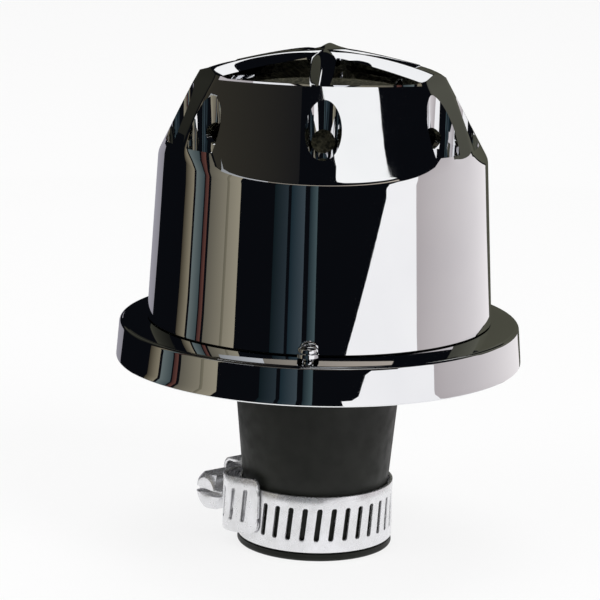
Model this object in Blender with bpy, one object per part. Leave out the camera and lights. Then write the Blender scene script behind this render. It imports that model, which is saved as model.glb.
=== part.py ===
# Crankcase breather filter: a chromed hood on a skirted pan, a foam element inside it,
# and a rubber neck with a worm-drive clamp. Metres, +Z up, origin at the centre of the
# neck's lower end, front towards -Y.

import math

import bmesh
import bpy
from mathutils import Matrix, Vector

# Clearance between pieces that touch
GAP = 0.0003

# Rubber neck
NECK_TOP_R = 0.0191
NECK_LOW_R = 0.0173
NECK_LIP_R = 0.0174
NECK_LIP_HEIGHT = 0.0017
NECK_GROOVE_R = 0.0163
NECK_PIPE_R = 0.0130
SPIGOT_LENGTH = 0.0270

# Base pan
PAN_SEAT_Z = 0.0519
PAN_THICKNESS = 0.0014
PAN_LEDGE_WIDTH = 0.0062
PAN_RIM_DROP = 0.0009
PAN_RIM_ROUND = 0.0007
SKIRT_HEIGHT = 0.0084
SKIRT_FLARE = 0.0006
SKIRT_WALL = 0.0015
SKIRT_EDGE = 0.0004
COLLAR_HEIGHT = 0.0042
COLLAR_WALL = 0.0012
SPIGOT_WALL = 0.0014
SPIGOT_BEAD = 0.0006
SPIGOT_BEAD_TOP = 0.0026
SPIGOT_BEAD_MIDDLE = 0.0016
SPIGOT_LEAD = 0.0002
GASKET_THICKNESS = 0.0006
GASKET_WIDTH = 0.0010

# Hood, as heights above its own foot, the upper part above the crease and the crown above the rim
HOOD_FOOT_R = 0.0383
HOOD_TAPER = 0.0020
HOOD_CREASE_HEIGHT = 0.0358
HOOD_UPPER_HEIGHT = 0.0190
HOOD_CROWN_RISE = 0.0057
HOOD_WALL = 0.0020
CUT_REACH = 0.0600
PETALS = 3
PETAL_RIM_R = 0.0228
PETAL_RIM_ARC_R = 0.0414
PETAL_CREASE_BULGE = 0.0017
BAND_RIM_DIST = 0.0268
BAND_CREASE_OFFSET = 0.0001
BAND_CREASE_RISE = 0.0019
HOOD_RINGS = 4
PETAL_COLUMNS = 10
BAND_COLUMNS = 2

# Pockets and side bores of the hood
POCKET_R = 0.0036
POCKET_WALL = 0.0013
POCKET_FLOOR_RISE = 0.0039
POCKET_MID_RISE = 0.0097
POCKET_SPACING_DEG = 38.5
SIDE_BORE_R = 0.0024
SIDE_BORE_RISE = 0.0028

# Star of ridged arms across the top
ARM_CREST_WIDTH = 0.0008
ARM_THIN_WIDTH = 0.0030
ARM_WIDE_WIDTH = 0.0090
ARM_FLANK_DROP = 0.0022
ARM_DEPTH = 0.0014
ARM_CORNER_DROP = 0.0036
ARM_THIN_RISE = 0.0002
ARM_CROWN_POWER = 1.8
ARM_WIDEN_POWER = 3.0
ARM_STATIONS = 6
ARM_OVERRUN = 0.004
HUB_R = 0.0046

# Fixing screws round the foot
SCREWS = 3
SCREW_OFFSET = 0.0021
SCREW_SHANK_R = 0.0010
SCREW_HEAD_R = 0.0021
SCREW_HEAD_HEIGHT = 0.0015
SCREW_HOLE_R = 0.0013
EAR_R = 0.0023
EAR_THICKNESS = 0.0008
EAR_LIFT = 0.0001
WASHER_R = 0.0024
WASHER_THICKNESS = 0.0005
NUT_ACROSS_FLATS = 0.0040
NUT_HEIGHT = 0.0016
SCREW_TIP = 0.0006

# Filter element
FOAM_MARGIN = 0.0065
FOAM_SHOULDER_DROP = 0.0028
FOAM_TOP_DROP = 0.0043
FOAM_CORE_R = 0.0162
FOAM_NOSE_R = 0.0200
CORE_WALL = 0.0008
CORE_HEIGHT = 0.0310
CORE_HOLE_R = 0.0016
CORE_HOLE_ROWS = 4
CORE_HOLES_PER_ROW = 8
CORE_HOLE_SIDES = 8
CORE_PLUG_DEPTH = 0.0020
CORE_PLUG_WALL = 0.0015
CORE_EDGE = 0.0004
CORE_CAP_THICKNESS = 0.0014
CORE_RING_THICKNESS = 0.0016
CORE_RING_WIDTH = 0.0050

# Worm-drive clamp
BAND_WIDTH = 0.0127
BAND_THICKNESS = 0.0007
SLOT_PITCH = 0.003175
SLOT_WIDTH = 0.0012
SLOT_LENGTH = 0.0074
SLOT_SLANT_DEG = 6.0
STRIP_CLIMB_DEG = (60.0, 195.0)
TAIL_END_DEG = -41.0
TAIL_BULGE = 0.0026
TAIL_RISE = 0.0025
TAIL_CORNER = 0.0020
HOUSING_AZIMUTH_DEG = -138.0
HOUSING_LENGTH = 0.0130
HOUSING_WALL = 0.0008
COVER_HALF_HEIGHT = 0.0064
COVER_ROUND = 0.0026
WORM_R = 0.0030
WORM_COLLAR_R = 0.0043
WORM_COLLAR_THICKNESS = 0.0010
WORM_HEAD_FLATS = 0.0080
WORM_HEAD_LENGTH = 0.0070
WORM_SLOT_WIDTH = 0.0013
WORM_SLOT_DEPTH = 0.0016
WORM_TIP = 0.0008

# Facets on round pieces
BIG_SEGMENTS = 64
MEDIUM_SEGMENTS = 36
SMALL_SEGMENTS = 20

# Levels and fits that follow from the sizes above
FOOT_Z = PAN_SEAT_Z + GAP
HOOD_CREASE_R = HOOD_FOOT_R - HOOD_TAPER
PETAL_CREASE_ARC_R = HOOD_CREASE_R + PETAL_CREASE_BULGE
BAND_CREASE_DIST = HOOD_CREASE_R + BAND_CREASE_OFFSET
FOAM_R = HOOD_FOOT_R - FOAM_MARGIN
HOOD_RIM_HEIGHT = HOOD_CREASE_HEIGHT + HOOD_UPPER_HEIGHT
HOOD_CROWN_HEIGHT = HOOD_RIM_HEIGHT + HOOD_CROWN_RISE
POCKET_FLOOR_HEIGHT = HOOD_CREASE_HEIGHT + POCKET_FLOOR_RISE
POCKET_MID_HEIGHT = HOOD_CREASE_HEIGHT + POCKET_MID_RISE
PAN_RIM_R = HOOD_FOOT_R + PAN_LEDGE_WIDTH
SCREW_CIRCLE_R = HOOD_FOOT_R + SCREW_OFFSET
RIM_Z = FOOT_Z + HOOD_RIM_HEIGHT
CROWN_Z = FOOT_Z + HOOD_CROWN_HEIGHT
PAN_UNDER_Z = PAN_SEAT_Z - PAN_THICKNESS
HOOD_DRAFT = (HOOD_FOOT_R - HOOD_CREASE_R) / HOOD_CREASE_HEIGHT
COLLAR_R = HOOD_FOOT_R - HOOD_WALL - HOOD_DRAFT * COLLAR_HEIGHT - GAP
SPIGOT_R = NECK_PIPE_R + 0.0016
CLAMP_MID_Z = NECK_LIP_HEIGHT + GAP + BAND_WIDTH / 2
BAND_INNER_R = NECK_GROOVE_R + GAP
LAYER_STEP = BAND_THICKNESS + GAP
HOUSING_HALF_SPAN = math.asin((HOUSING_LENGTH / 2 + GAP) / BAND_INNER_R)
BAND_MID_R = BAND_INNER_R + BAND_THICKNESS / 2
TAIL_MID_R = BAND_MID_R + LAYER_STEP
TAIL_OUTER_R = TAIL_MID_R + BAND_THICKNESS / 2 + GAP
WORM_AXIS_R = TAIL_OUTER_R + WORM_R
COVER_FRONT_R = WORM_AXIS_R + WORM_R + GAP + HOUSING_WALL


def clear_scene():
    for obj in list(bpy.data.objects):
        bpy.data.objects.remove(obj, do_unlink=True)


def make_material(name, colour, roughness, metallic):
    material = bpy.data.materials.new(name)
    material.use_nodes = True
    shader = material.node_tree.nodes["Principled BSDF"]
    shader.inputs["Base Color"].default_value = (*colour, 1.0)
    shader.inputs["Roughness"].default_value = roughness
    shader.inputs["Metallic"].default_value = metallic
    material.diffuse_color = (*colour, 1.0)
    return material


def add_object(name, bm, material=None):
    """The bmesh as a new object, smooth where its faces meet at under 30 degrees."""
    bmesh.ops.recalc_face_normals(bm, faces=bm.faces)
    mesh = bpy.data.meshes.new(name)
    bm.to_mesh(mesh)
    bm.free()
    mesh.shade_smooth()
    mesh.set_sharp_from_angle(angle=math.radians(30))
    obj = bpy.data.objects.new(name, mesh)
    bpy.context.scene.collection.objects.link(obj)
    if material:
        mesh.materials.append(material)
    return obj


def spun(profile, segments, closed=True):
    """A bmesh turned about Z from a profile of (radius, height) points."""
    bm = bmesh.new()
    points = [bm.verts.new((r, 0, z)) for r, z in profile]
    edges = [bm.edges.new(pair) for pair in zip(points, points[1:])]
    if closed:
        edges.append(bm.edges.new((points[-1], points[0])))
    bmesh.ops.spin(bm, geom=points + edges, axis=(0, 0, 1), cent=(0, 0, 0),
                   angle=2 * math.pi, steps=segments, use_merge=True)
    bmesh.ops.remove_doubles(bm, verts=bm.verts, dist=1e-7)
    return bm


def cylinder(radius, low_z, high_z, segments=SMALL_SEGMENTS, top_radius=None):
    bm = bmesh.new()
    bmesh.ops.create_cone(bm, cap_ends=True, segments=segments, radius1=radius,
                          radius2=radius if top_radius is None else top_radius,
                          depth=high_z - low_z)
    bmesh.ops.translate(bm, verts=bm.verts, vec=(0, 0, (low_z + high_z) / 2))
    return bm


def box(low, high):
    bm = bmesh.new()
    bmesh.ops.create_cube(bm, size=1)
    size = Vector(high) - Vector(low)
    bmesh.ops.scale(bm, vec=size, verts=bm.verts)
    bmesh.ops.translate(bm, verts=bm.verts, vec=(Vector(high) + Vector(low)) / 2)
    return bm


def prism(outline, low, high):
    """An outline of (x, y) points extruded along Z."""
    bm = bmesh.new()
    bottom = [bm.verts.new((x, y, low)) for x, y in outline]
    face = bm.faces.new(bottom)
    made = bmesh.ops.extrude_face_region(bm, geom=[face])
    moved = [item for item in made["geom"] if isinstance(item, bmesh.types.BMVert)]
    bmesh.ops.translate(bm, verts=moved, vec=(0, 0, high - low))
    return bm


def lofted(sections):
    """A closed bmesh through rings of points that all have the same count."""
    bm = bmesh.new()
    rings = [[bm.verts.new(point) for point in section] for section in sections]
    for low, high in zip(rings, rings[1:]):
        for i in range(len(low)):
            j = (i + 1) % len(low)
            bm.faces.new((low[i], low[j], high[j], high[i]))
    bm.faces.new(rings[0])
    bm.faces.new(rings[-1])
    return bm


def turn_z(bm, degrees):
    """Turns about Z so that what faced the front (-Y) faces this azimuth."""
    bmesh.ops.rotate(bm, verts=bm.verts, cent=(0, 0, 0),
                     matrix=Matrix.Rotation(math.radians(degrees), 3, "Z"))
    return bm


def applied(obj):
    """Bakes the object's modifiers into its mesh."""
    graph = bpy.context.evaluated_depsgraph_get()
    baked = bpy.data.meshes.new_from_object(obj.evaluated_get(graph))
    obj.modifiers.clear()
    obj.data = baked
    return obj


def combined(obj, tools, operation):
    """Cuts, joins or intersects the object with each tool in turn, then drops the tools."""
    for tool in tools:
        cut = obj.modifiers.new(operation.title(), "BOOLEAN")
        cut.operation = operation
        cut.solver = "EXACT"
        cut.object = tool
    applied(obj)
    for tool in tools:
        bpy.data.objects.remove(tool, do_unlink=True)
    return obj


def finish_mesh(obj, angle=30):
    """Welds what a Boolean left and sets the shading."""
    bm = bmesh.new()
    bm.from_mesh(obj.data)
    bmesh.ops.remove_doubles(bm, verts=bm.verts, dist=2e-6)
    bmesh.ops.dissolve_degenerate(bm, edges=bm.edges, dist=2e-6)
    bmesh.ops.recalc_face_normals(bm, faces=bm.faces)
    bm.to_mesh(obj.data)
    bm.free()
    obj.data.shade_smooth()
    obj.data.set_sharp_from_angle(angle=math.radians(angle))
    return obj


# The hood's surface, as its distance from the axis at a height above the foot.
# Each horizontal section of a petal is an arc whose centre lies behind the axis.

def petal_centre_r(height):
    slope = (HOOD_CREASE_R - PETAL_RIM_R) / (HOOD_RIM_HEIGHT - HOOD_CREASE_HEIGHT)
    return PETAL_RIM_R + slope * (HOOD_RIM_HEIGHT - height)


def petal_arc_r(height):
    share = (height - HOOD_CREASE_HEIGHT) / (HOOD_RIM_HEIGHT - HOOD_CREASE_HEIGHT)
    return PETAL_CREASE_ARC_R + share * (PETAL_RIM_ARC_R - PETAL_CREASE_ARC_R)


def body_r(height, inset):
    return HOOD_FOOT_R - HOOD_DRAFT * height - inset


def petal_r(turn, height, inset):
    """turn is measured from the middle of the petal."""
    slant = math.hypot(1.0, (HOOD_CREASE_R - PETAL_RIM_R) / (HOOD_RIM_HEIGHT - HOOD_CREASE_HEIGHT))
    arc = petal_arc_r(height)
    back = arc - petal_centre_r(height)
    return math.sqrt((arc - inset * slant) ** 2 - (back * math.sin(turn)) ** 2) - back * math.cos(turn)


def band_r(turn, height, inset):
    """turn is still measured from the middle of the petal, so the band's middle is at 60 degrees."""
    crease = HOOD_CREASE_HEIGHT + BAND_CREASE_RISE
    slope = (BAND_CREASE_DIST - BAND_RIM_DIST) / (HOOD_RIM_HEIGHT - crease)
    dist = BAND_CREASE_DIST - slope * (height - crease) - inset * math.hypot(1.0, slope)
    return dist / math.cos(math.pi / PETALS - turn)


def solved(low, high, positive):
    """Where positive(x) turns from false to true between low and high."""
    for _ in range(50):
        middle = (low + high) / 2
        if positive(middle):
            high = middle
        else:
            low = middle
    return (low + high) / 2


def band_edge(height, inset):
    """Angle from the petal's middle at which the petal meets the band."""
    return solved(math.radians(25), math.pi / PETALS,
                  lambda turn: petal_r(turn, height, inset) > band_r(turn, height, inset))


def upper_r(turn, height, inset):
    return min(petal_r(turn, height, inset), band_r(turn, height, inset))


def crease_height(turn, inset):
    return solved(HOOD_CREASE_HEIGHT - HOOD_UPPER_HEIGHT / 4, HOOD_CREASE_HEIGHT + HOOD_UPPER_HEIGHT * 0.75,
                  lambda height: upper_r(turn, height, inset) < body_r(height, inset))


def hood_solid(name, inset, low, high):
    """Closed solid inside the hood's surface moved in by inset, between two heights above the foot."""
    corner = solved(HOOD_CREASE_HEIGHT - HOOD_UPPER_HEIGHT / 8, HOOD_CREASE_HEIGHT + HOOD_UPPER_HEIGHT * 0.75,
                    lambda height: upper_r(band_edge(height, inset), height, inset) < body_r(height, inset))
    rings = [[], []] + [[] for _ in range(HOOD_RINGS)]
    for half in range(2 * PETALS):
        sides = range(PETAL_COLUMNS + BAND_COLUMNS)
        for column in sides if half % 2 == 0 else [PETAL_COLUMNS + BAND_COLUMNS - k for k in sides]:
            for level in range(HOOD_RINGS + 1):
                share = level / HOOD_RINGS
                edge = band_edge(corner + (high - corner) * share, inset)
                if column <= PETAL_COLUMNS:
                    turn = edge * column / PETAL_COLUMNS
                else:
                    turn = edge + (math.pi / PETALS - edge) * (column - PETAL_COLUMNS) / BAND_COLUMNS
                crease = crease_height(turn, inset)
                height = crease + (high - crease) * share
                radius = upper_r(turn, height, inset) if level else body_r(height, inset)
                azimuth = turn + half * math.pi / PETALS
                if half % 2:
                    azimuth = (half + 1) * math.pi / PETALS - turn
                if level == 0:
                    foot = body_r(low, inset)
                    rings[0].append((foot * math.sin(azimuth), -foot * math.cos(azimuth), FOOT_Z + low))
                rings[level + 1].append((radius * math.sin(azimuth), -radius * math.cos(azimuth),
                                         FOOT_Z + height))
    return add_object(name, lofted(rings))


def arm_z(radius, end_r, end_z):
    """Crest height of an arm: level over the hub, then falling to end_z at end_r."""
    share = max(0.0, (radius - HUB_R) / (end_r - HUB_R))
    return CROWN_Z - (CROWN_Z - end_z) * share ** ARM_CROWN_POWER


def make_star():
    """Six ridged arms that meet in valleys round the hub: three wide at the end, three thin."""
    half_sector = math.tan(math.pi / (2 * PETALS))
    hub_half = HUB_R * half_sector
    bm = bmesh.new()
    corners = {}

    def corner(azimuth, x, y, z):
        cos, sin = math.cos(azimuth), math.sin(azimuth)
        point = (x * cos - y * sin, x * sin + y * cos, z)
        key = tuple(round(value * 1e7) for value in point)
        if key not in corners:
            corners[key] = bm.verts.new(point)
        return corners[key]

    def face(*points):
        kept = []
        for point in points:
            if point not in kept:
                kept.append(point)
        if len(kept) > 2:
            bm.faces.new(kept)

    for i in range(2 * PETALS):
        azimuth = i * math.pi / PETALS
        rim_r, end_z, end_width = ((BAND_RIM_DIST, CROWN_Z - ARM_CORNER_DROP, ARM_WIDE_WIDTH) if i % 2
                                   else (PETAL_RIM_R, RIM_Z + ARM_THIN_RISE, ARM_THIN_WIDTH))
        stations = [0.0, HUB_R * 0.5, HUB_R]
        stations += [HUB_R + (rim_r + ARM_OVERRUN - HUB_R) * k / ARM_STATIONS for k in range(1, ARM_STATIONS + 1)]
        previous = None
        for index, radius in enumerate(stations):
            share = min(1.0, max(0.0, (radius - HUB_R) / (rim_r - HUB_R)))
            half = hub_half + (end_width / 2 - hub_half) * share ** ARM_WIDEN_POWER
            crest = min(ARM_CREST_WIDTH / 2, radius * half_sector)
            z = arm_z(radius, rim_r, end_z)
            low = z - ARM_FLANK_DROP
            if radius < HUB_R:
                half = radius * half_sector
                low = z - ARM_FLANK_DROP * radius / HUB_R
            under = z - ARM_FLANK_DROP - ARM_DEPTH
            row = [corner(azimuth, x, -radius, height) for x, height in
                   ((-crest, z), (crest, z), (half, low), (half, under), (-half, under), (-half, low))]
            if previous:
                inside = index <= 2
                for k in range(6):
                    # Round the hub the side walls lie inside, where two arms meet
                    if inside and k in (2, 4):
                        continue
                    j = (k + 1) % 6
                    face(previous[k], previous[j], row[j], row[k])
            previous = row
        face(*previous)
    return add_object("star", bm)


def make_hood(material):
    hood = hood_solid("hood_shell", 0.0, 0.0, HOOD_CROWN_HEIGHT + 0.001)
    waste = hood_solid("hood_inside", HOOD_WALL, -0.002, HOOD_RIM_HEIGHT + 0.002)
    over = add_object("over", box((-CUT_REACH, -CUT_REACH, RIM_Z), (CUT_REACH, CUT_REACH, CROWN_Z + 0.006)))
    combined(waste, [over], "UNION")
    combined(waste, [make_star()], "DIFFERENCE")
    floor = FOOT_Z + POCKET_FLOOR_HEIGHT
    pockets, bores = [], []
    for azimuth, radius in pocket_places():
        # Solid is left round each pocket, inside the wall
        boss = cylinder(POCKET_R + POCKET_WALL, floor - POCKET_WALL, RIM_Z - 0.0012)
        bmesh.ops.translate(boss, verts=boss.verts, vec=(0, -radius, 0))
        combined(waste, [add_object("boss", turn_z(boss, azimuth))], "DIFFERENCE")
        pocket = cylinder(POCKET_R, floor, RIM_Z + 0.005)
        bmesh.ops.translate(pocket, verts=pocket.verts, vec=(0, -radius, 0))
        pockets.append(add_object("pocket", turn_z(pocket, azimuth)))
        bore = cylinder(SIDE_BORE_R, 0, POCKET_R + POCKET_WALL + 0.003, 16)
        bmesh.ops.rotate(bore, verts=bore.verts, cent=(0, 0, 0),
                         matrix=Matrix.Rotation(math.radians(-90), 3, "X"))
        bmesh.ops.translate(bore, verts=bore.verts, vec=(0, -radius, floor + SIDE_BORE_RISE))
        bores.append(add_object("bore", turn_z(bore, azimuth)))
    combined(hood, [waste], "DIFFERENCE")
    for cutter in pockets + bores:
        combined(hood, [cutter], "DIFFERENCE")

    # Ears for the fixing screws
    inner_y = -HOOD_FOOT_R + HOOD_WALL / 2
    for i in range(SCREWS):
        outline = [(-EAR_R, inner_y)]
        outline += [(-EAR_R * math.cos(math.pi * k / 8), -SCREW_CIRCLE_R - EAR_R * math.sin(math.pi * k / 8))
                    for k in range(9)]
        outline.append((EAR_R, inner_y))
        ear = prism(outline, FOOT_Z + EAR_LIFT, FOOT_Z + EAR_LIFT + EAR_THICKNESS)
        combined(hood, [add_object("ear", turn_z(ear, i * 360 / SCREWS))], "UNION")
        hole = cylinder(SCREW_HOLE_R, FOOT_Z - 0.001, FOOT_Z + EAR_THICKNESS + 0.002)
        bmesh.ops.translate(hole, verts=hole.verts, vec=(0, -SCREW_CIRCLE_R, 0))
        combined(hood, [add_object("hole", turn_z(hole, i * 360 / SCREWS))], "DIFFERENCE")
    hood.data.materials.clear()
    hood.data.materials.append(material)
    return finish_mesh(hood)


def pocket_places():
    """(azimuth, distance from the axis) of each pocket, on the petal's own arc."""
    arc = petal_arc_r(POCKET_MID_HEIGHT)
    back = arc - petal_centre_r(POCKET_MID_HEIGHT)
    places = []
    for petal in range(PETALS):
        for side in (-1, 0, 1):
            turn = math.radians(side * POCKET_SPACING_DEG)
            x, y = arc * math.sin(turn), back - arc * math.cos(turn)
            azimuth = math.degrees(math.atan2(x, -y))
            places.append((petal * 360 / PETALS + azimuth, math.hypot(x, y)))
    return places


def make_pan(material):
    rim_z = PAN_SEAT_Z - PAN_RIM_DROP
    round_points = []
    for i in range(4):
        turn = math.radians(i * 30)
        round_points.append((PAN_RIM_R - PAN_RIM_ROUND * (1 - math.sin(turn)),
                             rim_z - PAN_RIM_ROUND * (1 - math.cos(turn))))
    skirt_z = rim_z - SKIRT_HEIGHT
    skirt_r = PAN_RIM_R + SKIRT_FLARE
    spigot_z = PAN_UNDER_Z - SPIGOT_LENGTH
    groove_r = HOOD_FOOT_R - HOOD_WALL / 2
    profile = [(HOOD_FOOT_R + GAP, PAN_SEAT_Z)]
    profile += round_points
    profile += [(skirt_r, skirt_z + SKIRT_EDGE), (skirt_r - SKIRT_EDGE, skirt_z),
                (skirt_r - SKIRT_WALL, skirt_z),
                (PAN_RIM_R - SKIRT_WALL, PAN_UNDER_Z - PAN_RIM_DROP),
                (HOOD_FOOT_R, PAN_UNDER_Z),
                (SPIGOT_R, PAN_UNDER_Z),
                (SPIGOT_R, spigot_z + SPIGOT_BEAD_TOP),
                (SPIGOT_R + SPIGOT_BEAD, spigot_z + SPIGOT_BEAD_MIDDLE),
                (SPIGOT_R - SPIGOT_LEAD, spigot_z),
                (SPIGOT_R - SPIGOT_WALL, spigot_z),
                (SPIGOT_R - SPIGOT_WALL, PAN_SEAT_Z),
                (COLLAR_R - COLLAR_WALL, PAN_SEAT_Z),
                (COLLAR_R - COLLAR_WALL, PAN_SEAT_Z + COLLAR_HEIGHT),
                (COLLAR_R, PAN_SEAT_Z + COLLAR_HEIGHT),
                (COLLAR_R, PAN_SEAT_Z),
                (groove_r - GASKET_WIDTH / 2 - GAP, PAN_SEAT_Z),
                (groove_r - GASKET_WIDTH / 2 - GAP, PAN_SEAT_Z - GASKET_THICKNESS),
                (groove_r + GASKET_WIDTH / 2 + GAP, PAN_SEAT_Z - GASKET_THICKNESS),
                (groove_r + GASKET_WIDTH / 2 + GAP, PAN_SEAT_Z)]
    pan = add_object("base_pan", spun(profile, BIG_SEGMENTS), material)
    holes = []
    for i in range(SCREWS):
        hole = cylinder(SCREW_HOLE_R, PAN_UNDER_Z - 0.003, PAN_SEAT_Z + 0.003)
        bmesh.ops.translate(hole, verts=hole.verts, vec=(0, -SCREW_CIRCLE_R, 0))
        holes.append(add_object("pan_hole", turn_z(hole, i * 360 / SCREWS)))
    combined(pan, holes, "DIFFERENCE")
    return finish_mesh(pan)


def make_gasket(material):
    middle = HOOD_FOOT_R - HOOD_WALL / 2
    low = PAN_SEAT_Z - GASKET_THICKNESS + GAP
    high = FOOT_Z - GAP
    inner, outer = middle - GASKET_WIDTH / 2, middle + GASKET_WIDTH / 2
    profile = [(outer, low), (outer, high), (inner, high), (inner, low)]
    return add_object("foot_gasket", spun(profile, MEDIUM_SEGMENTS), material)


def ring_outline(across_flats, sides=6):
    radius = across_flats / 2 / math.cos(math.pi / sides)
    return [(radius * math.cos(2 * math.pi * i / sides), radius * math.sin(2 * math.pi * i / sides))
            for i in range(sides)]


def make_screws(steel, plated):
    """Pan-head screw, washer and nut at each ear."""
    under = PAN_UNDER_Z - PAN_RIM_DROP
    head_low = FOOT_Z + EAR_LIFT + EAR_THICKNESS + GAP
    washer_high = under - GAP
    nut_high = washer_high - WASHER_THICKNESS - GAP
    nut_low = nut_high - NUT_HEIGHT
    tip = nut_low - SCREW_TIP
    for i in range(SCREWS):
        azimuth = i * 360 / SCREWS
        dome = []
        for k in range(5):
            turn = math.radians(90 * k / 4)
            dome.append((SCREW_HEAD_R * math.cos(turn),
                         head_low + SCREW_HEAD_HEIGHT * (0.35 + 0.65 * math.sin(turn))))
        dome[-1] = (0, head_low + SCREW_HEAD_HEIGHT)
        profile = dome[::-1] + [(SCREW_HEAD_R, head_low), (SCREW_SHANK_R, head_low),
                                (SCREW_SHANK_R, tip + 0.0003), (SCREW_SHANK_R - 0.0003, tip), (0, tip)]
        screw = spun(profile, SMALL_SEGMENTS, closed=False)
        bmesh.ops.translate(screw, verts=screw.verts, vec=(0, -SCREW_CIRCLE_R, 0))
        screw = add_object(f"foot_screw_{i + 1}", turn_z(screw, azimuth), plated)
        slots = []
        for quarter in (45, 135):
            arm_half = SCREW_HEAD_R * 0.55
            slot = box((-arm_half, -0.0003, head_low + SCREW_HEAD_HEIGHT * 0.45),
                       (arm_half, 0.0003, head_low + SCREW_HEAD_HEIGHT + 0.001))
            turn_z(slot, quarter)
            bmesh.ops.translate(slot, verts=slot.verts, vec=(0, -SCREW_CIRCLE_R, 0))
            slots.append(add_object("slot", turn_z(slot, azimuth)))
        combined(screw, slots, "DIFFERENCE")
        finish_mesh(screw)

        inner = SCREW_SHANK_R + GAP
        washer = spun([(WASHER_R, washer_high - WASHER_THICKNESS), (WASHER_R, washer_high),
                       (inner, washer_high), (inner, washer_high - WASHER_THICKNESS)], SMALL_SEGMENTS)
        bmesh.ops.translate(washer, verts=washer.verts, vec=(0, -SCREW_CIRCLE_R, 0))
        add_object(f"foot_washer_{i + 1}", turn_z(washer, azimuth), steel)

        nut = prism(ring_outline(NUT_ACROSS_FLATS), nut_low, nut_high)
        bmesh.ops.translate(nut, verts=nut.verts, vec=(0, -SCREW_CIRCLE_R, 0))
        nut = add_object(f"foot_nut_{i + 1}", turn_z(nut, azimuth), steel)
        hole = cylinder(inner, nut_low - 0.001, nut_high + 0.001)
        bmesh.ops.translate(hole, verts=hole.verts, vec=(0, -SCREW_CIRCLE_R, 0))
        combined(nut, [add_object("nut_hole", turn_z(hole, azimuth))], "DIFFERENCE")
        finish_mesh(nut)


def make_element(foam_material, steel, plastic):
    """Foam plug over a perforated core tube that stands round the pan's air hole."""
    floor = PAN_SEAT_Z + GAP
    pocket_inner = min(radius for _, radius in pocket_places()) - POCKET_R - POCKET_WALL
    waist_r = pocket_inner - GAP
    shoulder_z = FOOT_Z + HOOD_CREASE_HEIGHT - FOAM_SHOULDER_DROP
    waist_z = FOOT_Z + POCKET_FLOOR_HEIGHT - POCKET_WALL - GAP
    top_z = RIM_Z - FOAM_TOP_DROP
    core_top = floor + CORE_RING_THICKNESS + GAP + CORE_HEIGHT
    cap_top = core_top + GAP + CORE_CAP_THICKNESS
    foam_low = floor + CORE_RING_THICKNESS + GAP
    profile = [(0, top_z), (FOAM_NOSE_R - 0.0015, top_z), (FOAM_NOSE_R, top_z - 0.0015),
               (waist_r, waist_z), (FOAM_R, shoulder_z), (FOAM_R, foam_low + 0.0015),
               (FOAM_R - 0.0015, foam_low), (FOAM_CORE_R + GAP, foam_low),
               (FOAM_CORE_R + GAP, cap_top + GAP), (0, cap_top + GAP)]
    add_object("foam_element", spun(profile, MEDIUM_SEGMENTS, closed=False), foam_material)

    inner = FOAM_CORE_R - CORE_WALL
    tube = spun([(FOAM_CORE_R, foam_low), (FOAM_CORE_R, core_top), (inner, core_top),
                 (inner, foam_low)], MEDIUM_SEGMENTS)
    tube = add_object("core_tube", tube, steel)
    holes = []
    row_step = CORE_HEIGHT / CORE_HOLE_ROWS
    for row in range(CORE_HOLE_ROWS):
        # Each cutter runs right across, so it makes two holes
        for i in range(CORE_HOLES_PER_ROW // 2):
            hole = cylinder(CORE_HOLE_R, -FOAM_CORE_R - 0.002, FOAM_CORE_R + 0.002, CORE_HOLE_SIDES)
            bmesh.ops.rotate(hole, verts=hole.verts, cent=(0, 0, 0),
                             matrix=Matrix.Rotation(math.radians(90), 3, "X"))
            bmesh.ops.translate(hole, verts=hole.verts, vec=(0, 0, foam_low + (row + 0.5) * row_step))
            azimuth = (i + 0.5 * (row % 2)) * 360 / CORE_HOLES_PER_ROW
            holes.append(add_object("core_hole", turn_z(hole, azimuth)))
    combined(tube, holes, "DIFFERENCE")
    finish_mesh(tube)

    cap = spun([(0, cap_top), (FOAM_CORE_R - CORE_EDGE, cap_top), (FOAM_CORE_R, cap_top - CORE_EDGE),
                (FOAM_CORE_R, core_top + GAP), (inner - GAP, core_top + GAP),
                (inner - GAP, core_top - CORE_PLUG_DEPTH), (inner - CORE_PLUG_WALL, core_top - CORE_PLUG_DEPTH),
                (inner - CORE_PLUG_WALL, core_top + GAP), (0, core_top + GAP)], MEDIUM_SEGMENTS, closed=False)
    add_object("core_cap", cap, plastic)

    ring_r = FOAM_CORE_R + CORE_RING_WIDTH
    ring = spun([(ring_r, floor), (ring_r, floor + CORE_RING_THICKNESS),
                 (inner, floor + CORE_RING_THICKNESS), (inner, floor)], MEDIUM_SEGMENTS)
    add_object("core_ring", ring, plastic)


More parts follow.
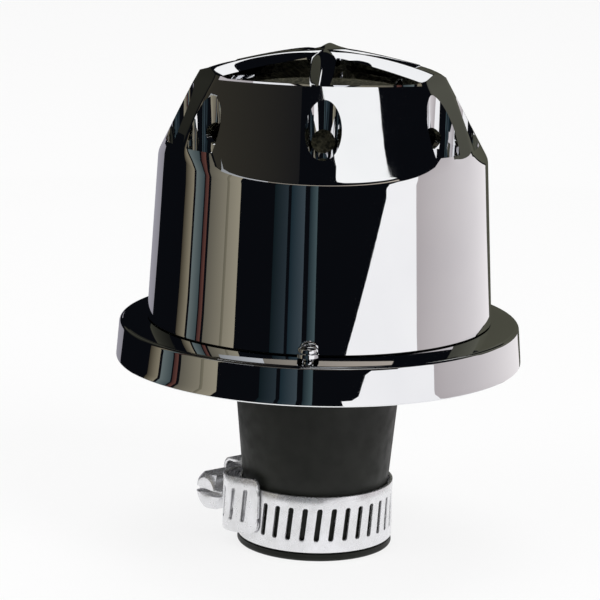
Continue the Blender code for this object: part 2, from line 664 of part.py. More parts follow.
def make_neck(material):
    top = PAN_UNDER_Z - GAP
    band_top = CLAMP_MID_Z + BAND_WIDTH / 2 + GAP
    bore_step = PAN_UNDER_Z - SPIGOT_LENGTH - GAP
    taper = (NECK_TOP_R - NECK_LOW_R) / (top - band_top)
    profile = [(NECK_TOP_R, top), (NECK_TOP_R - taper * (top - band_top - 0.0006), band_top + 0.0006),
               (NECK_GROOVE_R, band_top), (NECK_GROOVE_R, NECK_LIP_HEIGHT),
               (NECK_LIP_R, NECK_LIP_HEIGHT - 0.0003), (NECK_LIP_R, 0.0005), (NECK_LIP_R - 0.0005, 0),
               (NECK_PIPE_R + 0.0008, 0), (NECK_PIPE_R, 0.0010), (NECK_PIPE_R, bore_step),
               (SPIGOT_R + GAP, bore_step), (SPIGOT_R + 0.0006 + GAP, bore_step + 0.0019),
               (SPIGOT_R + GAP, bore_step + 0.0033), (SPIGOT_R + GAP, top)]
    neck = add_object("rubber_neck", spun(profile, BIG_SEGMENTS), material)

    # The rubber gives way round the saddle, which stands a little higher than the strip
    half = HOUSING_LENGTH / 2 + GAP
    reach = BAND_WIDTH / 2 + HOUSING_WALL + 2 * GAP
    low, high = CLAMP_MID_Z - reach, CLAMP_MID_Z + reach
    floor_r, outer_r = NECK_GROOVE_R + 0.0001, NECK_TOP_R + 0.001
    dent = add_object("dent", spun([(floor_r, low), (outer_r, low), (outer_r, high), (floor_r, high)],
                                   BIG_SEGMENTS))
    place = turn_z(box((-half, -1.5 * NECK_TOP_R, low - 0.001), (half, 0, high + 0.001)), HOUSING_AZIMUTH_DEG)
    combined(dent, [add_object("place", place)], "INTERSECT")
    combined(neck, [dent], "DIFFERENCE")
    return finish_mesh(neck)


def tail_share(turn):
    """0 where the strip leaves the housing, 1 at the tail's end."""
    low = math.radians(HOUSING_AZIMUTH_DEG) + 2 * math.pi + HOUSING_HALF_SPAN
    high = math.radians(TAIL_END_DEG) + 2 * math.pi
    return min(max((turn - low) / (high - low), 0.0), 1.0)


def strip_radius(turn):
    """Middle radius of the clamp's strip, from its inner end to its tail."""
    climb_low, climb_high = (math.radians(angle) for angle in STRIP_CLIMB_DEG)
    share = min(max((turn - climb_low) / (climb_high - climb_low), 0.0), 1.0)
    bulge = TAIL_BULGE * math.sin(math.pi * tail_share(turn)) ** 2
    return BAND_MID_R + LAYER_STEP * share * share * (3 - 2 * share) + bulge


def make_band(material):
    """Slotted strip: an inner turn, then a tail that passes through the housing."""
    start = math.radians(HOUSING_AZIMUTH_DEG) + HOUSING_HALF_SPAN
    tail_end = math.radians(TAIL_END_DEG) + 2 * math.pi
    pitch = SLOT_PITCH / BAND_MID_R
    half_slot = SLOT_WIDTH / BAND_MID_R / 2
    slots = int((tail_end - start) / pitch) - 1
    first = start + ((tail_end - start) - (slots - 1) * pitch) / 2
    columns = [(start, False)]
    for i in range(slots):
        middle = first + i * pitch
        columns += [(middle - half_slot, True), (middle + half_slot, False),
                    (middle + pitch / 2, False)]
    corner = TAIL_CORNER / BAND_MID_R
    columns = columns[:-1] + [(tail_end - corner, False), (tail_end - corner * 0.3, False), (tail_end, False)]
    levels = [-BAND_WIDTH / 2, -SLOT_LENGTH / 2, SLOT_LENGTH / 2, BAND_WIDTH / 2]
    slant = math.tan(math.radians(SLOT_SLANT_DEG)) / BAND_MID_R
    bm = bmesh.new()
    grid = []
    for index, (turn, _) in enumerate(columns):
        from_end = len(columns) - 1 - index
        column = []
        for height in levels:
            angle = turn if index == 0 or from_end < 3 else turn + slant * height
            # The tail's corners are rounded off
            trim = {0: TAIL_CORNER, 1: TAIL_CORNER * 0.3}.get(from_end, 0.0)
            if abs(height) > SLOT_LENGTH / 2:
                height -= math.copysign(trim, height)
            radius = strip_radius(angle) - BAND_THICKNESS / 2
            column.append(bm.verts.new((radius * math.sin(angle), -radius * math.cos(angle),
                                        CLAMP_MID_Z + height + TAIL_RISE * tail_share(angle))))
        grid.append(column)
    for index, (_, slot) in enumerate(columns[:-1]):
        for row in range(3):
            if slot and row == 1:
                continue
            a, b = grid[index], grid[index + 1]
            bm.faces.new((a[row], b[row], b[row + 1], a[row + 1]))
    band = add_object("clamp_band", bm, material)
    wall = band.modifiers.new("Thickness", "SOLIDIFY")
    wall.thickness = BAND_THICKNESS
    wall.offset = 1.0
    wall.use_even_offset = True
    applied(band)
    return finish_mesh(band)


def extruded_x(section, low_x, high_x):
    """A (distance from the axis, height above the band's middle) section extruded along X."""
    bm = bmesh.new()
    face = bm.faces.new([bm.verts.new((low_x, -u, CLAMP_MID_Z + v)) for u, v in section])
    made = bmesh.ops.extrude_face_region(bm, geom=[face])
    moved = [item for item in made["geom"] if isinstance(item, bmesh.types.BMVert)]
    bmesh.ops.translate(bm, verts=moved, vec=(high_x - low_x, 0, 0))
    return bm


def rounded_corner(centre_u, centre_v, radius, start_deg, steps=3):
    return [(centre_u + radius * math.cos(math.radians(start_deg + 90 * k / steps)),
             centre_v + radius * math.sin(math.radians(start_deg + 90 * k / steps)))
            for k in range(steps + 1)]


def cover_section(front, half_height, corner_r):
    """Rounded outer side of the cover, from its lower corner to its upper one."""
    centre_u, centre_v = front - corner_r, half_height - corner_r
    return (rounded_corner(centre_u, -centre_v, corner_r, -90)
            + rounded_corner(centre_u, centre_v, corner_r, 0))


def make_housing(material):
    """Saddle round the strip and a folded cover over the worm."""
    half = HOUSING_LENGTH / 2
    inside = BAND_WIDTH / 2 + GAP
    outside = inside + HOUSING_WALL
    saddle_r = TAIL_OUTER_R + HOUSING_WALL
    inner_r = BAND_INNER_R - 0.003
    section = [(inner_r, -outside), (saddle_r, -outside), (saddle_r + 0.0003, -COVER_HALF_HEIGHT)]
    section += cover_section(COVER_FRONT_R, COVER_HALF_HEIGHT, COVER_ROUND)
    section += [(saddle_r + 0.0003, COVER_HALF_HEIGHT), (saddle_r, outside), (inner_r, outside)]
    housing = add_object("clamp_housing", extruded_x(section, -half, half), material)

    low, high = CLAMP_MID_Z - outside - 0.002, CLAMP_MID_Z + outside + 0.002
    neck_cut = add_object("neck_cut", cylinder(BAND_INNER_R, low, high, BIG_SEGMENTS))
    floor_r = TAIL_MID_R - BAND_THICKNESS / 2 - GAP
    channel = spun([(floor_r, CLAMP_MID_Z - inside), (TAIL_OUTER_R, CLAMP_MID_Z - inside),
                    (TAIL_OUTER_R, CLAMP_MID_Z + inside), (floor_r, CLAMP_MID_Z + inside)], BIG_SEGMENTS)
    channel = add_object("channel", channel)
    hollow_half = COVER_HALF_HEIGHT - HOUSING_WALL
    hollow = [(TAIL_OUTER_R - 0.0012, -hollow_half)]
    hollow += cover_section(COVER_FRONT_R - HOUSING_WALL, hollow_half, COVER_ROUND - HOUSING_WALL)
    hollow.append((TAIL_OUTER_R - 0.0012, hollow_half))
    hollow = add_object("hollow", extruded_x(hollow, -half - 0.001, half + 0.001))
    for cutter in (neck_cut, channel, hollow):
        combined(housing, [cutter], "DIFFERENCE")
    bm = bmesh.new()
    bm.from_mesh(housing.data)
    turn_z(bm, HOUSING_AZIMUTH_DEG)
    bm.to_mesh(housing.data)
    bm.free()
    return finish_mesh(housing)


def make_worm(material):
    """Worm screw with a slotted hex head, its origin on its own axis."""
    half_length = HOUSING_LENGTH / 2
    collar_low = half_length + GAP
    collar_high = collar_low + WORM_COLLAR_THICKNESS
    head_end = collar_high + WORM_HEAD_LENGTH
    profile = [(0, collar_high), (WORM_COLLAR_R, collar_high), (WORM_COLLAR_R, collar_low),
               (WORM_R, collar_low), (WORM_R, -half_length + 0.0004),
               (WORM_R - 0.0006, -half_length - WORM_TIP), (0, -half_length - WORM_TIP)]
    worm = add_object("clamp_screw", spun(profile, 24, closed=False), material)
    head = prism(ring_outline(WORM_HEAD_FLATS), collar_high - 0.0002, head_end)
    round_end = cylinder(WORM_HEAD_FLATS * 0.66, collar_low, head_end, 24, WORM_HEAD_FLATS * 0.5)
    head = add_object("hex", head)
    combined(head, [add_object("round_end", round_end)], "INTERSECT")
    combined(worm, [head], "UNION")
    slot = box((-WORM_HEAD_FLATS, -WORM_SLOT_WIDTH / 2, head_end - WORM_SLOT_DEPTH),
               (WORM_HEAD_FLATS, WORM_SLOT_WIDTH / 2, head_end + 0.001))
    combined(worm, [add_object("slot", slot)], "DIFFERENCE")
    finish_mesh(worm)
    turn = math.radians(HOUSING_AZIMUTH_DEG)
    outwards = Vector((math.sin(turn), -math.cos(turn), 0))
    along = Vector((math.cos(turn), math.sin(turn), 0))
    across = along.cross(outwards)
    place = Matrix((outwards, across, along)).transposed().to_4x4()
    place.translation = outwards * WORM_AXIS_R + Vector((0, 0, CLAMP_MID_Z))
    worm.matrix_world = place
    return worm


def main():
    clear_scene()
    chrome = make_material("chrome", (0.82, 0.83, 0.84), 0.05, 1.0)
    zinc = make_material("zinc", (0.72, 0.73, 0.74), 0.35, 1.0)
    steel = make_material("steel", (0.60, 0.60, 0.60), 0.40, 1.0)
    rubber = make_material("rubber", (0.025, 0.026, 0.024), 0.60, 0.0)
    foam = make_material("foam", (0.10, 0.10, 0.075), 0.90, 0.0)
    plastic = make_material("plastic", (0.04, 0.04, 0.04), 0.50, 0.0)
    make_hood(chrome)
    make_pan(chrome)
    make_gasket(rubber)
    make_screws(steel, chrome)
    make_element(foam, steel, plastic)
    make_neck(rubber)
    make_band(zinc)
    make_housing(zinc)
    make_worm(zinc)


main()
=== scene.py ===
import math

import bmesh
import bpy
from mathutils import Matrix, Vector


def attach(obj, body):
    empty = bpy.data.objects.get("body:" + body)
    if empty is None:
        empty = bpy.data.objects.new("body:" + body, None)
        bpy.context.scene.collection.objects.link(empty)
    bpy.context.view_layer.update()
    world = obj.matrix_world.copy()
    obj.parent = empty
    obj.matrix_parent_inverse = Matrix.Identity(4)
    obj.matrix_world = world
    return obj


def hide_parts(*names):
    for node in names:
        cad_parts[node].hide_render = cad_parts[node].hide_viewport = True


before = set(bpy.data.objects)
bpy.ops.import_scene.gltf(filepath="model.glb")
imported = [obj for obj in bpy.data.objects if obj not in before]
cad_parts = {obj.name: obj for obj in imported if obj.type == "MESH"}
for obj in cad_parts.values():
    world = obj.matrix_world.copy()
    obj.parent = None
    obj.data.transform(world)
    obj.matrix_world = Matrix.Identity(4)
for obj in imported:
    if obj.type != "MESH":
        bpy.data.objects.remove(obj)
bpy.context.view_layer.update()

mm = 0.001
gap = 0.3 * mm
sharpAngle = 30
print("frame loaded:", len(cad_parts), "pieces")


# small helpers

def link(obj):
    bpy.context.scene.collection.objects.link(obj)
    return obj


def smooth(mesh):
    mesh.shade_smooth()
    mesh.set_sharp_from_angle(angle=math.radians(sharpAngle))


def meshObject(name, bm, material=None):
    bmesh.ops.remove_doubles(bm, verts=bm.verts, dist=1e-7)
    bmesh.ops.recalc_face_normals(bm, faces=bm.faces)
    mesh = bpy.data.meshes.new(name)
    bm.to_mesh(mesh)
    bm.free()
    smooth(mesh)
    if material:
        mesh.materials.append(material)
    return link(bpy.data.objects.new(name, mesh))


def bake(obj):
    graph = bpy.context.evaluated_depsgraph_get()
    mesh = bpy.data.meshes.new_from_object(obj.evaluated_get(graph))
    obj.modifiers.clear()
    obj.data = mesh
    smooth(mesh)


def carve(obj, tool, operation="DIFFERENCE"):
    cut = obj.modifiers.new("cut", "BOOLEAN")
    cut.operation = operation
    cut.solver = "EXACT"
    cut.object = tool
    bake(obj)
    bpy.data.objects.remove(tool, do_unlink=True)


def softenEdges(obj, width, angle=35):
    bevel = obj.modifiers.new("edge", "BEVEL")
    bevel.width = width
    bevel.segments = 2
    bevel.limit_method = "ANGLE"
    bevel.angle_limit = math.radians(angle)
    bevel.use_clamp_overlap = True
    bake(obj)


def turned(profile, segments, closed=True):
    bm = bmesh.new()
    points = [bm.verts.new((r, 0, z)) for r, z in profile]
    edges = [bm.edges.new(pair) for pair in zip(points, points[1:])]
    if closed:
        edges.append(bm.edges.new((points[-1], points[0])))
    bmesh.ops.spin(bm, geom=points + edges, axis=(0, 0, 1), cent=(0, 0, 0),
                   angle=2 * math.pi, steps=segments, use_merge=True)
    return bm


def turnZ(bm, degrees):
    bmesh.ops.rotate(bm, verts=bm.verts, cent=(0, 0, 0),
                     matrix=Matrix.Rotation(math.radians(degrees), 3, "Z"))
    return bm


def cylinderZ(radius, low, high, segments, place=(0, 0)):
    bm = bmesh.new()
    bmesh.ops.create_cone(bm, cap_ends=True, segments=segments, radius1=radius, radius2=radius,
                          depth=high - low)
    bmesh.ops.translate(bm, verts=bm.verts, vec=(place[0], place[1], (low + high) / 2))
    return bm


def boxMesh(low, high):
    bm = bmesh.new()
    bmesh.ops.create_cube(bm, size=1)
    bmesh.ops.scale(bm, vec=Vector(high) - Vector(low), verts=bm.verts)
    bmesh.ops.translate(bm, verts=bm.verts, vec=(Vector(high) + Vector(low)) / 2)
    return bm


def extruded(outline, way):
    bm = bmesh.new()
    face = bm.faces.new([bm.verts.new(p) for p in outline])
    made = bmesh.ops.extrude_face_region(bm, geom=[face])
    moved = [item for item in made["geom"] if isinstance(item, bmesh.types.BMVert)]
    bmesh.ops.translate(bm, verts=moved, vec=way)
    return bm


def prismMesh(outline, low, high):
    return extruded([(x, y, low) for x, y in outline], (0, 0, high - low))


def hexagon(flats):
    corner = flats / 2 / math.cos(math.pi / 6)
    return [(corner * math.cos(math.pi * k / 3), corner * math.sin(math.pi * k / 3)) for k in range(6)]


def skinned(rings):
    bm = bmesh.new()
    rows = [[bm.verts.new(p) for p in ring] for ring in rings]
    for low, high in zip(rows, rows[1:]):
        for i in range(len(low)):
            j = (i + 1) % len(low)
            bm.faces.new((low[i], low[j], high[j], high[i]))
    bm.faces.new(rows[0])
    bm.faces.new(rows[-1])
    return bm


def around(radius, turn, z):
    return radius * math.sin(turn), -radius * math.cos(turn), z


def unit(value):
    return min(1.0, max(0.0, value))


# materials

def newMaterial(name):
    material = bpy.data.materials.new(name)
    material.use_nodes = True
    tree = material.node_tree
    return material, tree, tree.nodes["Principled BSDF"]


def noiseField(tree, scale, detail):
    coord = tree.nodes.new("ShaderNodeTexCoord")
    noise = tree.nodes.new("ShaderNodeTexNoise")
    noise.inputs["Scale"].default_value = scale
    noise.inputs["Detail"].default_value = detail
    tree.links.new(coord.outputs["Object"], noise.inputs["Vector"])
    return noise.outputs["Fac"]


def spread(tree, field, fromRange, toRange):
    node = tree.nodes.new("ShaderNodeMapRange")
    for name, value in zip(("From Min", "From Max", "To Min", "To Max"), (*fromRange, *toRange)):
        node.inputs[name].default_value = value
    tree.links.new(field, node.inputs["Value"])
    return node.outputs["Result"]


def tinted(tree, field, dark, light):
    ramp = tree.nodes.new("ShaderNodeValToRGB")
    for i, colour in enumerate((dark, light)):
        ramp.color_ramp.elements[i].position = usualNoise[i]
        ramp.color_ramp.elements[i].color = (*colour, 1)
    tree.links.new(field, ramp.inputs["Fac"])
    return ramp.outputs["Color"]


def bumped(tree, shader, field, distance, strength):
    bump = tree.nodes.new("ShaderNodeBump")
    bump.inputs["Strength"].default_value = strength
    bump.inputs["Distance"].default_value = distance
    tree.links.new(field, bump.inputs["Height"])
    tree.links.new(bump.outputs["Normal"], shader.inputs["Normal"])


# most of a noise lies between these two; each noise below is (scale per metre, detail)
usualNoise = (0.3, 0.7)
chromeLook = {"light": (0.90, 0.91, 0.92), "dark": (0.84, 0.85, 0.87), "tintNoise": (40, 3), "metallic": 1.0,
              "rough": (0.015, 0.04), "roughNoise": (130, 6), "roughFrom": (0.45, 0.75),
              "grain": 0.0015 * mm, "grainNoise": (260, 1), "grainStrength": 1.0}
zincLook = {"light": (0.90, 0.90, 0.93), "dark": (0.76, 0.76, 0.77), "tintNoise": (170, 4), "metallic": 0.78,
            "rough": (0.22, 0.30), "roughNoise": (500, 6),
            "grain": 0.004 * mm, "grainNoise": (900, 2), "grainStrength": 0.3}
steelLook = {"light": (0.58, 0.58, 0.57), "dark": (0.42, 0.42, 0.41), "tintNoise": (300, 5), "metallic": 1.0,
             "rough": (0.25, 0.45), "roughNoise": (700, 4),
             "grain": 0.02 * mm, "grainNoise": (1800, 2), "grainStrength": 0.4}
rubberLook = {"light": (0.011, 0.012, 0.009), "dark": (0.006, 0.007, 0.005), "tintNoise": (120, 6),
              "rough": (0.42, 0.60), "roughNoise": (350, 5), "ior": 1.35,
              "grain": 0.03 * mm, "grainNoise": (2600, 3), "grainStrength": 0.35}
plasticLook = {"light": (0.05, 0.05, 0.05), "dark": (0.03, 0.03, 0.03), "tintNoise": (200, 4),
               "rough": (0.4, 0.55), "roughNoise": (600, 4),
               "grain": 0.02 * mm, "grainNoise": (2500, 2), "grainStrength": 0.4}
# foam: its dark colour is painted shade in the pores, its light colour the foam's own
foamLook = {"light": (0.10, 0.095, 0.06), "dark": (0.03, 0.03, 0.018), "roughness": 0.95, "pore": 0.5 * mm,
            "poreStrength": 0.8, "poresPerMetre": 1300}


def finish(name, look):
    material, tree, shader = newMaterial(name)
    tint = tinted(tree, noiseField(tree, *look["tintNoise"]), look["dark"], look["light"])
    tree.links.new(tint, shader.inputs["Base Color"])
    rough = spread(tree, noiseField(tree, *look["roughNoise"]), look.get("roughFrom", usualNoise),
                   look["rough"])
    tree.links.new(rough, shader.inputs["Roughness"])
    shader.inputs["Metallic"].default_value = look.get("metallic", 0.0)
    if "ior" in look:
        shader.inputs["IOR"].default_value = look["ior"]
    bumped(tree, shader, noiseField(tree, *look["grainNoise"]), look["grain"], look["grainStrength"])
    return material


def foamFinish(name, look):
    material, tree, shader = newMaterial(name)
    coord = tree.nodes.new("ShaderNodeTexCoord")
    pores = tree.nodes.new("ShaderNodeTexVoronoi")
    pores.inputs["Scale"].default_value = look["poresPerMetre"]
    tree.links.new(coord.outputs["Object"], pores.inputs["Vector"])
    # darker towards each pore's pit: painted shade in the pores
    tint = tinted(tree, pores.outputs["Distance"], look["dark"], look["light"])
    tree.links.new(tint, shader.inputs["Base Color"])
    shader.inputs["Roughness"].default_value = look["roughness"]
    bumped(tree, shader, pores.outputs["Distance"], look["pore"], look["poreStrength"])
    return material


chrome = finish("polishedChrome", chromeLook)
zinc = finish("zincPlatedSteel", zincLook)
steel = finish("plainSteel", steelLook)
rubber = finish("blackRubber", rubberLook)
foam = foamFinish("openFoam", foamLook)
plastic = finish("mouldedPlastic", plasticLook)
print("materials made")


# hood: its surface is known as a distance from the axis at each height above the foot

hood = {"footZ": 52.2 * mm, "footR": 38.3 * mm, "creaseR": 36.3 * mm, "crease": 35.8 * mm, "rim": 54.8 * mm,
        "crown": 59.5 * mm, "wall": 2.0 * mm, "petals": 3, "petalRimR": 23.6 * mm,
        "petalRimArc": 49.8 * mm, "petalCreaseArc": 38.0 * mm, "bandRim": 28.7 * mm,
        "bandCrease": 36.4 * mm, "bandRise": 1.9 * mm, "bandBulge": 0.8 * mm, "bandFrom": 25.0,
        "edgeRound": 0.40 * mm, "bandEdgeRound": 0.35 * mm, "plainBelow": 4 * mm, "belowCrease": 1.6 * mm}
pocket = {"radius": 3.9 * mm, "wall": 1.2 * mm, "floor": 40.3 * mm, "middle": 45.5 * mm, "spacing": 35.0,
          "setIn": (-0.6 * mm, 0.6 * mm, -0.6 * mm), "turn": 3.0, "bossDrop": 1.2 * mm, "segments": 56,
          "boreRadius": 2.55 * mm, "boreRise": 3.1 * mm, "boreSegments": 32, "bossSegments": 40}
star = {"crest": 0.45 * mm, "hubCrest": 1.8 * mm, "thinWidth": 3.0 * mm, "wideWidth": 11.0 * mm,
        "flankDrop": 2.2 * mm, "wideEndDrop": 1.2 * mm, "depth": 1.4 * mm, "cornerDrop": 3.0 * mm,
        "thinRise": 0.2 * mm, "widePower": 1.8, "thinPower": 1.2, "widenPower": 3.0, "hubPower": 3,
        "hubR": 4.6 * mm, "overrun": 4 * mm, "stations": 22, "hubSteps": 5, "acrossSteps": 7,
        "crowding": 1.4}
ears = {"count": 3, "circleR": 40.4 * mm, "radius": 2.3 * mm, "thickness": 0.8 * mm, "lift": 0.1 * mm,
        "holeR": 1.3 * mm, "holeSegments": 24}


def petalFront(height):
    slope = (hood["creaseR"] - hood["petalRimR"]) / (hood["rim"] - hood["crease"])
    return hood["petalRimR"] + slope * (hood["rim"] - height)


def petalArc(height):
    share = (height - hood["crease"]) / (hood["rim"] - hood["crease"])
    return hood["petalCreaseArc"] + share * (hood["petalRimArc"] - hood["petalCreaseArc"])


def bodyR(height, inset):
    return hood["footR"] - (hood["footR"] - hood["creaseR"]) / hood["crease"] * height - inset


def petalR(turn, height, inset):
    slant = math.hypot(1, (hood["creaseR"] - hood["petalRimR"]) / (hood["rim"] - hood["crease"]))
    arc = petalArc(height)
    back = arc - petalFront(height)
    return math.sqrt((arc - inset * slant) ** 2 - (back * math.sin(turn)) ** 2) - back * math.cos(turn)


def bandR(turn, height, inset):
    crease = hood["crease"] + hood["bandRise"]
    slope = (hood["bandCrease"] - hood["bandRim"]) / (hood["rim"] - crease)
    share = (height - crease) / (hood["rim"] - crease)
    dist = hood["bandCrease"] - slope * (height - crease) - inset * math.hypot(1, slope)
    if 0 < share < 1:
        dist += hood["bandBulge"] * 4 * share * (1 - share)
    return dist / math.cos(math.pi / hood["petals"] - turn)


def solved(low, high, positive):
    for _ in range(40):
        middle = (low + high) / 2
        if positive(middle):
            high = middle
        else:
            low = middle
    return (low + high) / 2


def softMin(a, b, blend):
    near = max(blend - abs(a - b), 0.0) / blend
    return min(a, b) - near * near * blend / 4


def upperR(turn, height, inset):
    return min(petalR(turn, height, inset), bandR(turn, height, inset))


def hoodR(turn, height, inset):
    if height < hood["crease"] - hood["plainBelow"]:
        return bodyR(height, inset)
    upper = softMin(petalR(turn, height, inset), bandR(turn, height, inset), hood["bandEdgeRound"])
    return softMin(upper, bodyR(height, inset), hood["edgeRound"])


def bandEdge(height, inset):
    return solved(math.radians(hood["bandFrom"]), math.pi / hood["petals"],
                  lambda turn: petalR(turn, height, inset) > bandR(turn, height, inset))


def creaseHeight(turn, inset):
    return solved(hood["crease"] - 4 * mm, hood["crease"] + 14 * mm,
                  lambda h: upperR(turn, h, inset) < bodyR(h, inset))


def hoodSolid(name, inset, low, high, petalColumns=30, bandColumns=6, rings=22):
    corner = solved(hood["crease"] - 2 * mm, hood["crease"] + 14 * mm,
                    lambda h: upperR(bandEdge(h, inset), h, inset) < bodyR(h, inset))
    # columns crowd towards the petal's edge, so that its rounded line is smooth
    petalShares = [k / petalColumns * 0.93 for k in range(petalColumns + 1)]
    petalShares += [0.95, 0.965, 0.98, 0.99, 1.0]
    bandShares = [0.06, 0.13, 0.22, 0.34]
    bandShares += [0.34 + 0.66 * k / bandColumns for k in range(1, bandColumns + 1)]
    columns = [("petal", s) for s in petalShares] + [("band", s) for s in bandShares]
    # rings: shares of the way up to the crease, steps in mm round it, shares of the way up to the rim
    below = [0.0, 0.25, 0.5, 0.75, 0.9]
    near = [-1.2, -0.8, -0.5, -0.25, 0.0, 0.25, 0.5, 0.8, 1.2]
    above = [k / rings for k in range(1, rings + 1)]
    layers = [[] for _ in below + near + above]
    edges = [bandEdge(corner + (high - corner) * s, inset) for s in [0.0] + above]

    def columnPoints(kind, share):
        def turnAt(edge):
            if kind == "petal":
                return edge * share
            return edge + (math.pi / hood["petals"] - edge) * share

        foot = turnAt(edges[0])
        crease = creaseHeight(foot, inset)
        base = crease + near[-1] * mm
        points = [(foot, low + (crease - hood["belowCrease"] - low) * s) for s in below]
        points += [(foot, crease + n * mm) for n in near]
        points += [(turnAt(edge), base + (high - base) * s) for edge, s in zip(edges[1:], above)]
        return points

    half = [columnPoints(*c) for c in columns]
    for side in range(2 * hood["petals"]):
        order = range(len(half) - 1, 0, -1) if side % 2 else range(len(half) - 1)
        for c in order:
            for layer, (turn, height) in zip(layers, half[c]):
                radius = hoodR(turn, height, inset)
                azimuth = side * math.pi / hood["petals"] + turn
                if side % 2:
                    azimuth = (side + 1) * math.pi / hood["petals"] - turn
                layer.append(around(radius, azimuth, hood["footZ"] + height))
    return meshObject(name, skinned(layers))


def armCrest(radius, endR, endZ, power):
    share = max(0.0, (radius - star["hubR"]) / (endR - star["hubR"]))
    crown = hood["footZ"] + hood["crown"]
    return crown - (crown - endZ) * share ** power


def starSolid():
    crown = hood["footZ"] + hood["crown"]
    sector = math.tan(math.pi / (2 * hood["petals"]))
    hubHalf = star["hubR"] * sector
    bm = bmesh.new()
    corners = {}

    def corner(azimuth, x, y, z):
        c, s = math.cos(azimuth), math.sin(azimuth)
        point = (x * c - y * s, x * s + y * c, z)
        key = tuple(round(v * 1e7) for v in point)
        if key not in corners:
            corners[key] = bm.verts.new(point)
        return corners[key]

    def face(*points):
        kept = list(dict.fromkeys(points))
        if len(kept) > 2:
            bm.faces.new(kept)

    steps, hubR, hubSteps = star["acrossSteps"], star["hubR"], star["hubSteps"]
    shares = [math.copysign(abs(k / steps) ** star["crowding"], k) for k in range(-steps, steps + 1)]
    for i in range(2 * hood["petals"]):
        azimuth = i * math.pi / hood["petals"]
        if i % 2:
            rimR, endWidth = hood["bandRim"], star["wideWidth"]
            endZ = crown - star["cornerDrop"]
            power, endDrop = star["widePower"], star["wideEndDrop"]
        else:
            rimR, endWidth = hood["petalRimR"], star["thinWidth"]
            endZ = hood["footZ"] + hood["rim"] + star["thinRise"]
            power, endDrop = star["thinPower"], star["flankDrop"]
        stations = [hubR * k / hubSteps for k in range(hubSteps + 1)]
        stations += [hubR + (rimR + star["overrun"] - hubR) * k / star["stations"]
                     for k in range(1, star["stations"] + 1)]
        previous = None
        for index, radius in enumerate(stations):
            share = unit((radius - hubR) / (rimR - hubR))
            widened = share ** star["widenPower"]
            full = hubHalf + (endWidth / 2 - hubHalf) * widened
            half = min(full, radius * sector)
            z = armCrest(radius, rimR, endZ, power)
            drop = star["flankDrop"] + (endDrop - star["flankDrop"]) * widened
            crest = star["crest"] + (star["hubCrest"] - star["crest"]) * (1 - share) ** star["hubPower"]
            row = []
            for s in shares:
                fall = math.hypot(half * s, crest) - crest
                row.append(corner(azimuth, half * s, -radius, z - drop * fall / full))
            under = z - star["flankDrop"] - star["depth"]
            row += [corner(azimuth, half, -radius, under), corner(azimuth, -half, -radius, under)]
            if previous:
                count = len(row)
                for k in range(count):
                    # round the hub the side walls lie inside, where two arms meet
                    if index <= hubSteps and k in (2 * steps, count - 1):
                        continue
                    j = (k + 1) % count
                    face(previous[k], previous[j], row[j], row[k])
            previous = row
        face(*previous)
    return meshObject("starTool", bm)


def pocketPlaces():
    arc = petalArc(pocket["middle"])
    back = arc - petalFront(pocket["middle"])
    places = []
    for petal in range(hood["petals"]):
        for side in (-1, 0, 1):
            turn = math.radians(side * pocket["spacing"])
            x, y = arc * math.sin(turn), back - arc * math.cos(turn)
            azimuth = petal * 360 / hood["petals"] + math.degrees(math.atan2(x, -y)) + pocket["turn"]
            places.append((azimuth, math.hypot(x, y) - pocket["setIn"][side + 1]))
    return places


def drillFoot(piece, low, high, number):
    hole = cylinderZ(ears["holeR"], low, high, ears["holeSegments"], (0, -ears["circleR"]))
    carve(piece, meshObject("hole", turnZ(hole, number * 360 / ears["count"])))


def makeHood():
    footZ, rimZ = hood["footZ"], hood["footZ"] + hood["rim"]
    shell = hoodSolid("hood", 0.0, 0.0, hood["crown"] + 1 * mm)
    waste = hoodSolid("hoodInside", hood["wall"], -2 * mm, hood["rim"] + 2 * mm, 20, 4, 12)
    aside = 60 * mm
    over = boxMesh((-aside, -aside, rimZ), (aside, aside, footZ + hood["crown"] + 6 * mm))
    carve(waste, meshObject("over", over), "UNION")
    carve(waste, starSolid())
    floor = footZ + pocket["floor"]
    bossR = pocket["radius"] + pocket["wall"]
    cutters = []
    for azimuth, radius in pocketPlaces():
        middle = (0, -radius)
        boss = cylinderZ(bossR, floor - pocket["wall"], rimZ - pocket["bossDrop"],
                         pocket["bossSegments"], middle)
        carve(waste, meshObject("boss", turnZ(boss, azimuth)))
        pit = cylinderZ(pocket["radius"], floor, rimZ + 5 * mm, pocket["segments"], middle)
        cutters.append(meshObject("pit", turnZ(pit, azimuth)))
        bore = cylinderZ(pocket["boreRadius"], 0, bossR + 3 * mm, pocket["boreSegments"])
        bmesh.ops.rotate(bore, verts=bore.verts, cent=(0, 0, 0),
                         matrix=Matrix.Rotation(-math.pi / 2, 3, "X"))
        bmesh.ops.translate(bore, verts=bore.verts, vec=(0, -radius, floor + pocket["boreRise"]))
        cutters.append(meshObject("bore", turnZ(bore, azimuth)))
    for cutter in [waste] + cutters:
        carve(shell, cutter)
    innerY = -hood["footR"] + hood["wall"] / 2
    outline = [(-ears["radius"], innerY)]
    outline += [(-ears["radius"] * math.cos(math.pi * k / 16),
                 -ears["circleR"] - ears["radius"] * math.sin(math.pi * k / 16)) for k in range(17)]
    outline.append((ears["radius"], innerY))
    for i in range(ears["count"]):
        ear = prismMesh(outline, footZ + ears["lift"], footZ + ears["lift"] + ears["thickness"])
        carve(shell, meshObject("ear", turnZ(ear, i * 360 / ears["count"])), "UNION")
        drillFoot(shell, footZ - 1 * mm, footZ + 2 * mm, i)
    shell.data.materials.clear()
    shell.data.materials.append(chrome)
    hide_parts("hood_shell")
    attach(shell, "filter")
    return shell


hoodPiece = makeHood()
print("hood made:", len(hoodPiece.data.polygons), "faces")


# base pan with its skirt, collar and spigot

